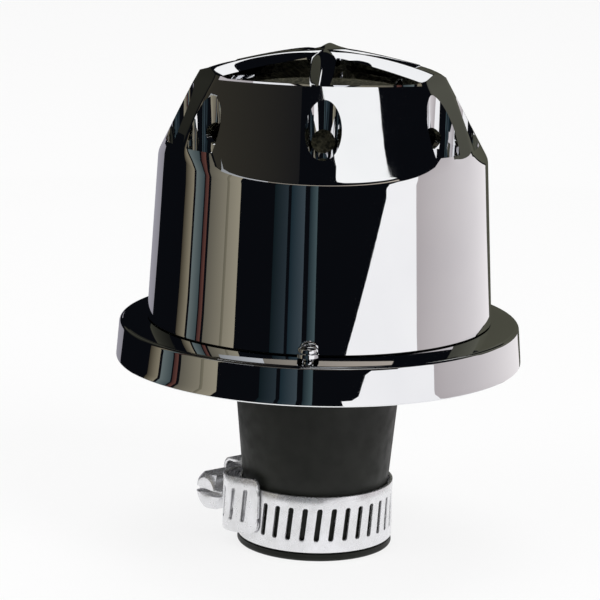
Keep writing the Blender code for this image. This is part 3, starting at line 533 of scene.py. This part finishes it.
pan = {"seatZ": 51.9 * mm, "thickness": 1.4 * mm, "rimR": 44.5 * mm, "rimDrop": 0.9 * mm,
       "rimRound": 0.7 * mm, "skirt": 8.4 * mm, "flare": 0.6 * mm, "footRound": 0.4 * mm, "wall": 1.5 * mm,
       "collar": 4.2 * mm, "collarWall": 1.2 * mm, "grooveHalf": 0.8 * mm, "grooveDepth": 0.6 * mm,
       "spigotR": 14.6 * mm, "spigotWall": 1.4 * mm, "spigotLength": 27.0 * mm, "bead": 0.6 * mm,
       "segments": 192}


def makePan():
    seat, under = pan["seatZ"], pan["seatZ"] - pan["thickness"]
    rimR, rimRound, rimZ = pan["rimR"], pan["rimRound"], seat - pan["rimDrop"]
    skirtR, skirtZ = rimR + pan["flare"], rimZ - pan["skirt"]
    draft = (hood["footR"] - hood["creaseR"]) / hood["crease"]
    collarR = hood["footR"] - hood["wall"] - draft * pan["collar"] - gap
    collarInner, collarTop = collarR - pan["collarWall"], seat + pan["collar"]
    grooveR = hood["footR"] - hood["wall"] / 2
    grooveIn, grooveOut = grooveR - pan["grooveHalf"], grooveR + pan["grooveHalf"]
    grooveLow = seat - pan["grooveDepth"]
    spigotR, endZ = pan["spigotR"], under - pan["spigotLength"]
    boreR = spigotR - pan["spigotWall"]
    profile = [(hood["footR"] + gap, seat), (rimR - rimRound * 1.2, rimZ + 0.13 * mm)]
    for i in range(9):
        turn = math.radians(i * 11.25)
        profile.append((rimR - rimRound * (1 - math.sin(turn)), rimZ - rimRound * (1 - math.cos(turn))))
    for i in range(1, 8):
        profile.append((rimR + pan["flare"] * i / 8, rimZ - rimRound - (pan["skirt"] - 1.3 * mm) * i / 8))
    for i in range(7):
        turn = math.radians(i * 15)
        profile.append((skirtR - pan["footRound"] * (1 - math.cos(turn)),
                        skirtZ + pan["footRound"] * (1 - math.sin(turn))))
    profile += [(skirtR - pan["wall"], skirtZ), (rimR - pan["wall"], under - pan["rimDrop"]),
                (hood["footR"], under), (spigotR, under), (spigotR, endZ + 2.6 * mm),
                (spigotR + pan["bead"], endZ + 1.6 * mm), (spigotR - 0.2 * mm, endZ), (boreR, endZ),
                (boreR, seat), (collarInner, seat), (collarInner, collarTop), (collarR, collarTop),
                (collarR, seat), (grooveIn, seat), (grooveIn, grooveLow), (grooveOut, grooveLow),
                (grooveOut, seat)]
    piece = meshObject("basePan", turned(profile, pan["segments"]), chrome)
    for i in range(ears["count"]):
        drillFoot(piece, under - 3 * mm, seat + 3 * mm, i)
    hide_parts("base_pan")
    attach(piece, "filter")


makePan()
print("base pan made")


# rubber neck, with the dent where the clamp's saddle presses in

neck = {"topZ": 50.2 * mm, "topR": 19.7 * mm, "lowR": 16.5 * mm, "shoulder": 0.6 * mm, "lipR": 17.4 * mm,
        "lip": 1.7 * mm, "lipRound": 0.7 * mm, "grooveR": 16.3 * mm, "grooveTop": 15.35 * mm,
        "pipeR": 13.0 * mm, "boreStep": 23.2 * mm, "spigotGap": 14.9 * mm, "segments": 160}
clamp = {"middleZ": 8.35 * mm, "width": 12.7 * mm, "thickness": 0.7 * mm, "innerR": 16.6 * mm,
         "slotPitch": 3.175 * mm, "slotWidth": 1.15 * mm, "slotLength": 7.4 * mm, "slotRound": 0.35 * mm,
         "slant": 6.0, "climb": (60.0, 195.0), "tailEnd": -41.0, "tailBulge": 2.6 * mm,
         "tailRise": 2.5 * mm, "tailCorner": 2.0 * mm, "housingAt": -138.0, "housingLength": 13.0 * mm,
         "housingWall": 0.8 * mm, "housingEdge": 0.3 * mm, "coverHalf": 6.4 * mm, "coverRound": 2.6 * mm,
         "wormR": 3.0 * mm, "segments": 160}


def makeNeck():
    top, groove, grooveR = neck["topZ"], neck["grooveTop"], neck["grooveR"]
    shoulder, lipRound = neck["shoulder"], neck["lipRound"]
    step, pipeR, spigotR = neck["boreStep"], neck["pipeR"], neck["spigotGap"]
    profile = [(neck["topR"], top)]
    for i in range(1, 12):
        share = i / 12
        profile.append((neck["topR"] - (neck["topR"] - neck["lowR"]) * share,
                        top - (top - groove - shoulder) * share))
    profile += [(neck["lowR"], groove + shoulder), (neck["lowR"] - 0.2 * mm, groove + 0.15 * mm),
                (grooveR, groove), (grooveR, neck["lip"]), (neck["lipR"] - 0.1 * mm, neck["lip"] - 0.1 * mm)]
    for i in range(9):
        turn = math.radians(-20 + 15 * i)
        profile.append((neck["lipR"] - lipRound * (1 - math.cos(turn)), lipRound - lipRound * math.sin(turn)))
    profile += [(pipeR + 0.8 * mm, 0), (pipeR + 0.2 * mm, 0.3 * mm), (pipeR, 1.0 * mm), (pipeR, step),
                (spigotR, step), (spigotR + 0.6 * mm, step + 1.9 * mm), (spigotR, step + 3.3 * mm),
                (spigotR, top)]
    profile = [(r, max(z, 0.0)) for r, z in profile]
    piece = meshObject("rubberNeck", turned(profile, neck["segments"]), rubber)
    half = clamp["housingLength"] / 2 + gap
    reach = clamp["width"] / 2 + clamp["housingWall"] + 2 * gap
    low, high = clamp["middleZ"] - reach, clamp["middleZ"] + reach
    dentR, outerR = grooveR - 0.1 * mm, neck["topR"] + 1 * mm
    dent = meshObject("dent", turned([(dentR, low), (outerR, low), (outerR, high), (dentR, high)], 96))
    place = boxMesh((-half, -30 * mm, low - 1 * mm), (half, 0, high + 1 * mm))
    carve(dent, meshObject("place", turnZ(place, clamp["housingAt"])), "INTERSECT")
    carve(piece, dent)
    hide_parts("rubber_neck")
    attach(piece, "filter")


makeNeck()
print("neck made")


# worm-drive clamp

bandMiddle = clamp["innerR"] + clamp["thickness"] / 2
layerStep = clamp["thickness"] + gap
halfSpan = math.asin((clamp["housingLength"] / 2 + gap) / clamp["innerR"])


def tailShare(turn):
    low = math.radians(clamp["housingAt"]) + 2 * math.pi + halfSpan
    high = math.radians(clamp["tailEnd"]) + 2 * math.pi
    return unit((turn - low) / (high - low))


def stripR(turn):
    low, high = (math.radians(a) for a in clamp["climb"])
    share = unit((turn - low) / (high - low))
    bulge = clamp["tailBulge"] * math.sin(math.pi * tailShare(turn)) ** 2
    return bandMiddle + layerStep * share * share * (3 - 2 * share) + bulge


def makeStrip():
    start = math.radians(clamp["housingAt"]) + halfSpan
    end = math.radians(clamp["tailEnd"]) + 2 * math.pi
    pitch = clamp["slotPitch"] / bandMiddle
    halfSlot = clamp["slotWidth"] / bandMiddle / 2
    slots = int((end - start) / pitch) - 1
    first = start + ((end - start) - (slots - 1) * pitch) / 2
    # columns across the strip: the turn, and whether a slot is open from there to the next column
    columns = [(start, False)]
    for i in range(slots):
        middle = first + i * pitch
        columns += [(middle + halfSlot * s, True) for s in (-1, -0.6, 0.6)]
        columns.append((middle + halfSlot, False))
        columns += [(middle + halfSlot + (pitch - 2 * halfSlot) * k / 4, False) for k in (1, 2, 3)]
    corner = clamp["tailCorner"] / bandMiddle
    columns = columns[:-3] + [(end - corner * s, False) for s in (1.0, 0.7, 0.35, 0.1, 0.0)]
    trims = {0: 1.0, 1: 0.56, 2: 0.24, 3: 0.05}
    halfWidth, halfLength = clamp["width"] / 2, clamp["slotLength"] / 2
    beyond = halfLength + 0.8 * mm
    slant = math.tan(math.radians(clamp["slant"])) / bandMiddle
    bm = bmesh.new()
    grids = ([], [])
    for index, (turn, isSlot) in enumerate(columns):
        fromEnd = len(columns) - 1 - index
        reach = halfLength
        if isSlot != columns[index - 1][1]:
            reach = halfLength - clamp["slotRound"]
        for grid, side in zip(grids, (-1, 1)):
            column = []
            for height in (-halfWidth, -beyond, -reach, 0, reach, beyond, halfWidth):
                angle = turn + slant * height * (min(fromEnd, 5) / 5 if index else 0.0)
                if abs(height) > halfLength:
                    height -= math.copysign(trims.get(fromEnd, 0.0) * clamp["tailCorner"], height)
                radius = stripR(angle) + side * clamp["thickness"] / 2
                z = clamp["middleZ"] + height + clamp["tailRise"] * tailShare(angle)
                column.append(bm.verts.new(around(radius, angle, z)))
            grid.append(column)
    walls = {}
    for index, (_, isSlot) in enumerate(columns[:-1]):
        for row in range(6):
            if isSlot and row in (2, 3):
                continue
            corners = ((index, row), (index + 1, row), (index + 1, row + 1), (index, row + 1))
            for grid in grids:
                bm.faces.new([grid[i][j] for i, j in corners])
            for edge in zip(corners, corners[1:] + corners[:1]):
                key = frozenset(edge)
                walls[key] = None if key in walls else edge
    inner, outer = grids
    for (i, j), (k, m) in filter(None, walls.values()):
        bm.faces.new((inner[i][j], inner[k][m], outer[k][m], outer[i][j]))
    piece = meshObject("clampStrip", bm, zinc)
    softenEdges(piece, 0.12 * mm)
    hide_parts("clamp_band")
    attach(piece, "filter")


def extrudedX(section, lowX, highX):
    return extruded([(lowX, -u, clamp["middleZ"] + v) for u, v in section], (highX - lowX, 0, 0))


def coverSection(front, half, radius, steps=8):
    points = []
    for centreV, start in ((-(half - radius), -90), (half - radius, 0)):
        for k in range(steps + 1):
            turn = math.radians(start + 90 * k / steps)
            points.append((front - radius + radius * math.cos(turn), centreV + radius * math.sin(turn)))
    return points


def makeHousing():
    wall, edge = clamp["housingWall"], clamp["housingEdge"]
    half = clamp["housingLength"] / 2
    inside = clamp["width"] / 2 + gap
    outside = inside + wall
    tailMid = bandMiddle + layerStep
    tailOuter = tailMid + clamp["thickness"] / 2 + gap
    floorR = tailMid - clamp["thickness"] / 2 - gap
    saddleR = tailOuter + wall
    wormAxisR = tailOuter + clamp["wormR"]
    front = wormAxisR + clamp["wormR"] + gap + wall
    innerR = clamp["innerR"] - 3 * mm
    cover = clamp["coverHalf"]
    section = [(innerR, -outside), (saddleR - edge, -outside), (saddleR, -outside + edge),
               (saddleR + edge, -cover)]
    section += coverSection(front, cover, clamp["coverRound"])
    section += [(saddleR + edge, cover), (saddleR, outside - edge), (saddleR - edge, outside),
                (innerR, outside)]
    piece = meshObject("clampHousing", extrudedX(section, -half, half), zinc)
    low, high = clamp["middleZ"] - outside - 2 * mm, clamp["middleZ"] + outside + 2 * mm
    carve(piece, meshObject("neckCut", cylinderZ(clamp["innerR"], low, high, clamp["segments"])))
    low, high = clamp["middleZ"] - inside, clamp["middleZ"] + inside
    ring = [(floorR, low), (tailOuter, low), (tailOuter, high), (floorR, high)]
    carve(piece, meshObject("channel", turned(ring, clamp["segments"])))
    hollowLow, hollowHalf = tailOuter - 1.2 * mm, cover - wall
    hollow = coverSection(front - wall, hollowHalf, clamp["coverRound"] - wall)
    hollow = [(hollowLow, -hollowHalf)] + hollow + [(hollowLow, hollowHalf)]
    carve(piece, meshObject("hollow", extrudedX(hollow, -half - 1 * mm, half + 1 * mm)))
    bm = bmesh.new()
    bm.from_mesh(piece.data)
    turnZ(bm, clamp["housingAt"])
    bm.to_mesh(piece.data)
    bm.free()
    softenEdges(piece, 0.15 * mm)
    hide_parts("clamp_housing")
    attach(piece, "filter")
    return wormAxisR


worm = {"collarR": 4.3 * mm, "collarThickness": 1.0 * mm, "flats": 8.0 * mm, "headLength": 7.0 * mm,
        "slotWidth": 1.3 * mm, "slotDepth": 1.6 * mm, "tip": 0.8 * mm, "tipTaper": 0.4 * mm,
        "threadPitch": 3.175 * mm, "threadDepth": 0.6 * mm, "ridgeTop": 2.2, "ridgeSlope": 6.5,
        "lengthSteps": 120, "plainSteps": 6, "turnSteps": 48}


def makeWorm(axisR):
    half = clamp["housingLength"] / 2
    collarLow = half + gap
    collarHigh = collarLow + worm["collarThickness"]
    headEnd = collarHigh + worm["headLength"]
    # thread: the radius follows the turn and the height
    rings = []
    steps, lowZ = worm["lengthSteps"], -half - worm["tip"]
    for i in range(steps + 1):
        z = lowZ + (collarLow - lowZ) * i / steps
        depth = worm["threadDepth"] if i < steps - worm["plainSteps"] else 0.0
        ring = []
        for k in range(worm["turnSteps"]):
            turn = 2 * math.pi * k / worm["turnSteps"]
            phase = (z / worm["threadPitch"] - turn / (2 * math.pi)) % 1.0
            ridge = unit(worm["ridgeTop"] - abs(phase - 0.5) * worm["ridgeSlope"])
            radius = clamp["wormR"] - depth * (1 - ridge)
            if i == 0:
                radius -= worm["tipTaper"]
            ring.append((radius * math.cos(turn), radius * math.sin(turn), z))
        rings.append(ring)
    piece = meshObject("clampScrew", skinned(rings), zinc)
    collarR, collarTop = worm["collarR"], collarHigh + 0.1 * mm
    collar = turned([(0, collarTop), (collarR - 0.2 * mm, collarTop), (collarR, collarHigh - 0.1 * mm),
                     (collarR, collarLow + 0.15 * mm), (collarR - 0.15 * mm, collarLow), (0, collarLow)],
                    64, closed=False)
    carve(piece, meshObject("collar", collar), "UNION")
    flats = worm["flats"]
    head = meshObject("head", prismMesh(hexagon(flats), collarHigh - 0.2 * mm, headEnd))
    crown = turned([(0, headEnd), (flats * 0.40, headEnd), (flats * 0.5, headEnd - 0.5 * mm),
                    (flats * 0.585, headEnd - 1.6 * mm), (flats * 0.60, collarLow), (0, collarLow)],
                   96, closed=False)
    carve(head, meshObject("crown", crown), "INTERSECT")
    carve(piece, head, "UNION")
    halfSlot = worm["slotWidth"] / 2
    slot = boxMesh((-flats, -halfSlot, headEnd - worm["slotDepth"]), (flats, halfSlot, headEnd + 1 * mm))
    carve(piece, meshObject("slot", slot))
    softenEdges(piece, 0.15 * mm, 30)
    turn = math.radians(clamp["housingAt"])
    outwards = Vector((math.sin(turn), -math.cos(turn), 0))
    along = Vector((math.cos(turn), math.sin(turn), 0))
    place = Matrix((outwards, along.cross(outwards), along)).transposed().to_4x4()
    place.translation = outwards * axisR + Vector((0, 0, clamp["middleZ"]))
    piece.data.transform(place)
    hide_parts("clamp_screw")
    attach(piece, "worm")


makeStrip()
makeWorm(makeHousing())
print("clamp made")


# fixing screws, washers and nuts: one of each, set round the foot by geometry nodes

fixing = {"headR": 2.1 * mm, "headHeight": 1.5 * mm, "domeFrom": 0.35, "crossReach": 0.55, "crossFrom": 0.45,
          "crossHalf": 0.3 * mm, "shankR": 1.0 * mm, "washerR": 2.4 * mm, "washerThickness": 0.5 * mm,
          "nutFlats": 4.0 * mm, "nutHeight": 1.6 * mm, "tip": 0.6 * mm, "tipTaper": 0.3 * mm}


def mathNode(tree, operation, value=None):
    node = tree.nodes.new("ShaderNodeMath")
    node.operation = operation
    if value is not None:
        node.inputs[1].default_value = value
    return node


def roundTheFoot(name, single, material, nodes):
    tree = bpy.data.node_groups.new(name + "Nodes", "GeometryNodeTree")
    pieceIn = tree.interface.new_socket("Piece", in_out="INPUT", socket_type="NodeSocketObject")
    radiusIn = tree.interface.new_socket("Circle Radius", in_out="INPUT", socket_type="NodeSocketFloat")
    countIn = tree.interface.new_socket("Count", in_out="INPUT", socket_type="NodeSocketInt")
    tree.interface.new_socket("Geometry", in_out="OUTPUT", socket_type="NodeSocketGeometry")
    inputs = tree.nodes.new("NodeGroupInput")
    outputs = tree.nodes.new("NodeGroupOutput")
    circle = tree.nodes.new("GeometryNodeMeshCircle")
    info = tree.nodes.new("GeometryNodeObjectInfo")
    place = tree.nodes.new("GeometryNodeInstanceOnPoints")
    index = tree.nodes.new("GeometryNodeInputIndex")
    divide = mathNode(tree, "DIVIDE")
    times = mathNode(tree, "MULTIPLY", 2 * math.pi)
    angles = tree.nodes.new("ShaderNodeCombineXYZ")
    spin = tree.nodes.new("GeometryNodeTransform")
    spin.inputs["Rotation"].default_value = (0, 0, -math.pi / 2)
    real = tree.nodes.new("GeometryNodeRealizeInstances")
    paint = tree.nodes.new("GeometryNodeSetMaterial")
    paint.inputs["Material"].default_value = material
    wires = ((inputs, "Piece", info, "Object"), (inputs, "Circle Radius", circle, "Radius"),
             (inputs, "Count", circle, "Vertices"), (circle, "Mesh", place, "Points"),
             (info, "Geometry", place, "Instance"), (index, "Index", divide, 0),
             (inputs, "Count", divide, 1), (divide, "Value", times, 0), (times, "Value", angles, "Z"),
             (angles, "Vector", place, "Rotation"), (place, "Instances", spin, "Geometry"),
             (spin, "Geometry", real, "Geometry"), (real, "Geometry", paint, "Geometry"),
             (paint, "Geometry", outputs, "Geometry"))
    for giver, output, taker, socket in wires:
        tree.links.new(giver.outputs[output], taker.inputs[socket])
    host = link(bpy.data.objects.new(name, bpy.data.meshes.new(name)))
    modifier = host.modifiers.new("round the foot", "NODES")
    modifier.node_group = tree
    modifier[pieceIn.identifier] = single
    modifier[radiusIn.identifier] = ears["circleR"]
    modifier[countIn.identifier] = ears["count"]
    host.update_tag()
    bake(host)
    bpy.data.objects.remove(single, do_unlink=True)
    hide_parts(*nodes)
    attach(host, "filter")


def makeFixings():
    under = pan["seatZ"] - pan["thickness"] - pan["rimDrop"]
    headR, headHeight = fixing["headR"], fixing["headHeight"]
    shankR, innerR = fixing["shankR"], fixing["shankR"] + gap
    headLow = hood["footZ"] + ears["lift"] + ears["thickness"] + gap
    headTop = headLow + headHeight
    washerTop = under - gap
    washerLow = washerTop - fixing["washerThickness"]
    nutTop = washerTop - fixing["washerThickness"] - gap
    nutLow = nutTop - fixing["nutHeight"]
    tip, taper = nutLow - fixing["tip"], fixing["tipTaper"]
    profile = [(0, headTop)]
    for k in range(1, 13):
        turn = math.radians(90 - 90 * k / 12)
        rise = fixing["domeFrom"] + (1 - fixing["domeFrom"]) * math.sin(turn)
        profile.append((headR * math.cos(turn), headLow + headHeight * rise))
    profile += [(headR, headLow), (shankR, headLow), (shankR, tip + taper), (shankR - taper, tip), (0, tip)]
    single = meshObject("oneScrew", turned(profile, 48, closed=False), chrome)
    reach, halfSlot = headR * fixing["crossReach"], fixing["crossHalf"]
    for quarter in (45, 135):
        slot = boxMesh((-reach, -halfSlot, headLow + headHeight * fixing["crossFrom"]),
                       (reach, halfSlot, headTop + 1 * mm))
        carve(single, meshObject("slot", turnZ(slot, quarter)))
    softenEdges(single, 0.06 * mm, 40)
    names = ["foot_screw_1", "foot_screw_2", "foot_screw_3"]
    roundTheFoot("footScrews", single, chrome, names)
    ring = [(fixing["washerR"], washerLow), (fixing["washerR"], washerTop), (innerR, washerTop),
            (innerR, washerLow)]
    single = meshObject("oneWasher", turned(ring, 40), steel)
    softenEdges(single, 0.05 * mm)
    roundTheFoot("footWashers", single, steel, [n.replace("screw", "washer") for n in names])
    single = meshObject("oneNut", prismMesh(hexagon(fixing["nutFlats"]), nutLow, nutTop), steel)
    carve(single, meshObject("hole", cylinderZ(innerR, nutLow - 1 * mm, nutTop + 1 * mm, 32)))
    softenEdges(single, 0.12 * mm)
    roundTheFoot("footNuts", single, steel, [n.replace("screw", "nut") for n in names])


makeFixings()
print("fixings made")


# pieces that stay as the CAD has them

inside = {"foam_element": foam, "core_tube": steel, "core_cap": plastic, "core_ring": plastic,
          "foot_gasket": rubber}
for nodeName, material in inside.items():
    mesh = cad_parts[nodeName].data
    mesh.materials.clear()
    mesh.materials.append(material)
print("inner pieces finished")


# studio: pale floor, soft lamps for the matt pieces, and reflector cards that only gloss sees

view = {"target": (0, 0, 50.8 * mm), "distance": 669 * mm, "elevation": 12.73, "azimuth": 3.5, "lens": 180.0,
        "right": 4.37 * mm, "up": 4.46 * mm, "roll": 1.3}
studio = {"floorSize": 6.0, "floorColour": (0.92, 0.92, 0.92), "floorRough": 0.9, "floorGlow": 0.8,
          "world": 0.55, "centreZ": 60 * mm, "room": (0.003, 0.0035, 0.005), "roomRadius": 460 * mm,
          "roomLift": 0.2 * mm, "roomGrid": 1.5, "cardRadius": 420 * mm, "cardLift": 0.8 * mm,
          "cardStep": 0.1 * mm, "cardGrid": 2.0}
lamps = {"keyLamp": {"place": (0.9, -0.9, 1.1), "size": 0.8, "power": 9.0},
         "fillLamp": {"place": (-1.0, -0.6, 0.7), "size": 0.8, "power": 4.0},
         "topLamp": {"place": (0.0, 0.3, 1.4), "size": 1.0, "power": 5.0}}


def rectangle(left, right, low, high):
    return (left, low), (right, low), (right, high), (left, high)


def upright(left, right):
    return rectangle(left, right, -32, 30)


# cards: corners as (degrees to the right of the camera, degrees up), the colour at the left edge and
# the colour at the right edge
cards = {
    "softbox": (((12, -32), (150, -32), (150, -4), (122, 3), (104, 22), (50, 24), (44, 18), (42, -1),
                 (12, -9)), (0.97, 0.96, 0.97), (0.97, 0.96, 0.97)),
    "softboxEdge": (((64, -32), (150, -32), (150, -4), (122, 3), (104, 22), (64, 24)),
                    (0.46, 0.42, 0.43), (0.90, 0.86, 0.87)),
    "oliveWall": (((151, -32), (182, -32), (182, 23), (124, 23), (124, 4), (151, -3)),
                  (0.10, 0.10, 0.075), (0.06, 0.06, 0.045)),
    "tealNear": (upright(-8, -3), (0.012, 0.022, 0.028), (0.06, 0.09, 0.10)),
    "tealMiddle": (upright(-20, -11), (0.010, 0.022, 0.030), (0.045, 0.062, 0.075)),
    "tealFar": (upright(-31, -22), (0.006, 0.012, 0.015), (0.022, 0.032, 0.040)),
    "tan": (upright(-79, -55), (0.12, 0.11, 0.085), (0.31, 0.28, 0.21)),
    "tanLine": (((-66, -32), (-64, -32), (-63, 30), (-65, 30)), (0.12, 0.11, 0.08), (0.20, 0.18, 0.13)),
    "redLine": (upright(-84, -81), (0.05, 0.02, 0.018), (0.12, 0.05, 0.04)),
    "tealStrip": (upright(-93, -85), (0.13, 0.16, 0.16), (0.05, 0.07, 0.075)),
    "olive": (upright(-104, -95), (0.05, 0.042, 0.028), (0.24, 0.21, 0.15)),
    "lavender": (((-172, -32), (-137, -32), (-142, 0), (-172, 0)), (0.36, 0.35, 0.40), (0.26, 0.25, 0.28)),
    "ceilingLight": (((-16, 62), (9, 55), (16, 49), (52, 39), (49, 42), (31, 55), (24, 61), (10, 66),
                      (-16, 66)), (1.0, 1.0, 1.0), (1.0, 1.0, 1.0)),
    "ceilingLeft": (((-104, 31), (-16, 31), (-22, 66), (-104, 66)),
                    (0.040, 0.036, 0.026), (0.010, 0.010, 0.011)),
    "ledgeLight": (((-72, 28), (-38, 29), (-38, 34), (-72, 34)), (0.30, 0.31, 0.32), (0.55, 0.56, 0.58)),
    "ledgeTan": (rectangle(-38, 52, 29, 34), (0.22, 0.20, 0.17), (0.50, 0.44, 0.38)),
    "ceilingRight": (rectangle(100, 136, 8, 42), (0.060, 0.060, 0.048), (0.11, 0.11, 0.088)),
    "behindLeft": (((-165, 16), (-118, 12), (-118, 40), (-165, 40)),
                   (0.050, 0.050, 0.038), (0.012, 0.012, 0.010)),
    "overhead": (((-134, 58), (-134, 74), (-158, 74), (-178, 62), (-216, 52), (-216, 38), (-186, 44)),
                 (1.0, 1.0, 1.0), (1.0, 1.0, 1.0)),
}


def directionTo(azimuth, elevation):
    turn, tilt = math.radians(azimuth), math.radians(elevation)
    return Vector((math.sin(turn) * math.cos(tilt), -math.cos(turn) * math.cos(tilt), math.sin(tilt)))


def makeCamera():
    data = bpy.data.cameras.new("camera")
    camera = link(bpy.data.objects.new("camera", data))
    back = directionTo(view["azimuth"], view["elevation"])
    turn = math.radians(view["azimuth"])
    right = Vector((math.cos(turn), math.sin(turn), 0))
    up = back.cross(right)
    target = Vector(view["target"]) - right * view["right"] + up * view["up"]
    spin = Matrix((right, up, back)).transposed().to_4x4()
    camera.matrix_world = (Matrix.Translation(target + back * view["distance"]) @ spin
                           @ Matrix.Rotation(math.radians(view["roll"]), 4, "Z"))
    data.lens = view["lens"]
    data.sensor_width = 36
    data.clip_end = 20
    bpy.context.scene.camera = camera


def seenDirectly(tree, share):
    path = tree.nodes.new("ShaderNodeLightPath")
    most = path.outputs["Is Camera Ray"]
    for name in ("Is Glossy Ray", "Is Transmission Ray"):
        larger = mathNode(tree, "MAXIMUM")
        tree.links.new(most, larger.inputs[0])
        tree.links.new(path.outputs[name], larger.inputs[1])
        most = larger.outputs[0]
    scaled = mathNode(tree, "MULTIPLY", share)
    tree.links.new(most, scaled.inputs[0])
    return scaled.outputs[0]


def mixedShader(tree, share, first, second, output):
    mix = tree.nodes.new("ShaderNodeMixShader")
    tree.links.new(share, mix.inputs["Fac"])
    tree.links.new(first, mix.inputs[1])
    tree.links.new(second, mix.inputs[2])
    tree.links.new(mix.outputs[0], output)


def makeFloor():
    half = studio["floorSize"] / 2
    bm = bmesh.new()
    bm.faces.new([bm.verts.new((x, y, 0)) for x, y in rectangle(-half, half, -half, half)])
    material, tree, shader = newMaterial("paleFloor")
    shader.inputs["Base Color"].default_value = (*studio["floorColour"], 1)
    shader.inputs["Roughness"].default_value = studio["floorRough"]
    white = tree.nodes.new("ShaderNodeEmission")
    mixedShader(tree, seenDirectly(tree, studio["floorGlow"]), shader.outputs[0], white.outputs[0],
                tree.nodes["Material Output"].inputs["Surface"])
    meshObject("floor", bm, material)


def makeWorld():
    world = bpy.data.worlds.new("studioWorld")
    world.use_nodes = True
    bpy.context.scene.world = world
    tree = world.node_tree
    tree.nodes.clear()
    soft, white = tree.nodes.new("ShaderNodeBackground"), tree.nodes.new("ShaderNodeBackground")
    for background, strength in ((soft, studio["world"]), (white, 1.0)):
        background.inputs["Color"].default_value = (1, 1, 1, 1)
        background.inputs["Strength"].default_value = strength
    out = tree.nodes.new("ShaderNodeOutputWorld")
    mixedShader(tree, seenDirectly(tree, 1.0), soft.outputs[0], white.outputs[0], out.inputs["Surface"])


def lamp(name, place, size, power):
    data = bpy.data.lights.new(name, "AREA")
    data.shape = "DISK"
    data.size = size
    data.energy = power
    obj = link(bpy.data.objects.new(name, data))
    away = Vector(place) - Vector(view["target"])
    obj.matrix_world = away.to_track_quat("Z", "Y").to_matrix().to_4x4()
    obj.location = place
    obj.visible_glossy = False


def glow(name, leftColour, rightColour):
    material = bpy.data.materials.new(name)
    material.use_nodes = True
    tree = material.node_tree
    tree.nodes.clear()
    across = tree.nodes.new("ShaderNodeAttribute")
    across.attribute_name = "across"
    blend = tree.nodes.new("ShaderNodeValToRGB")
    blend.color_ramp.elements[0].color = (*leftColour, 1)
    blend.color_ramp.elements[1].color = (*rightColour, 1)
    light = tree.nodes.new("ShaderNodeEmission")
    out = tree.nodes.new("ShaderNodeOutputMaterial")
    tree.links.new(across.outputs["Fac"], blend.inputs["Fac"])
    tree.links.new(blend.outputs["Color"], light.inputs["Color"])
    tree.links.new(light.outputs[0], out.inputs["Surface"])
    return material


def domePoint(right, rise, radius, lift):
    way = directionTo(right + view["azimuth"], rise)
    if way.z < 0:
        radius = min(radius, (studio["centreZ"] - lift) / -way.z)
    return Vector((0, 0, studio["centreZ"])) + way * radius


def showOnlyToGloss(obj):
    obj.visible_camera = False
    obj.visible_diffuse = False
    obj.visible_shadow = False


def cardMesh(corners, radius, lift, grid):
    bm = bmesh.new()
    bm.faces.new([bm.verts.new((a, b, 0)) for a, b in corners])
    for axis, normal in enumerate(((1, 0, 0), (0, 1, 0))):
        values = [c[axis] for c in corners]
        at = math.ceil(min(values) / grid) * grid
        while at < max(values):
            bmesh.ops.bisect_plane(bm, geom=bm.verts[:] + bm.edges[:] + bm.faces[:],
                                   plane_co=Vector(normal) * at, plane_no=normal, dist=1e-6)
            at += grid
    across = bm.verts.layers.float.new("across")
    left, right = min(c[0] for c in corners), max(c[0] for c in corners)
    for v in bm.verts:
        v[across] = (v.co.x - left) / (right - left)
        v.co = domePoint(v.co.x, v.co.y, radius, lift)
    return bm


def makeCards():
    room = cardMesh(rectangle(-180, 180, -33, 89.9), studio["roomRadius"], studio["roomLift"],
                    studio["roomGrid"])
    showOnlyToGloss(meshObject("darkRoom", room, glow("darkRoom", studio["room"], studio["room"])))
    # each card lies a little nearer than the one before, so that they don't flicker where they overlap
    for order, (name, (corners, leftColour, rightColour)) in enumerate(cards.items()):
        bm = cardMesh(corners, studio["cardRadius"] - order * studio["cardStep"],
                      studio["cardLift"] + order * studio["cardStep"], studio["cardGrid"])
        showOnlyToGloss(meshObject(name, bm, glow(name, leftColour, rightColour)))


makeCamera()
makeFloor()
makeWorld()
makeCards()
for lampName, values in lamps.items():
    lamp(lampName, **values)
bpy.context.scene.view_settings.view_transform = "Standard"
print("studio set")
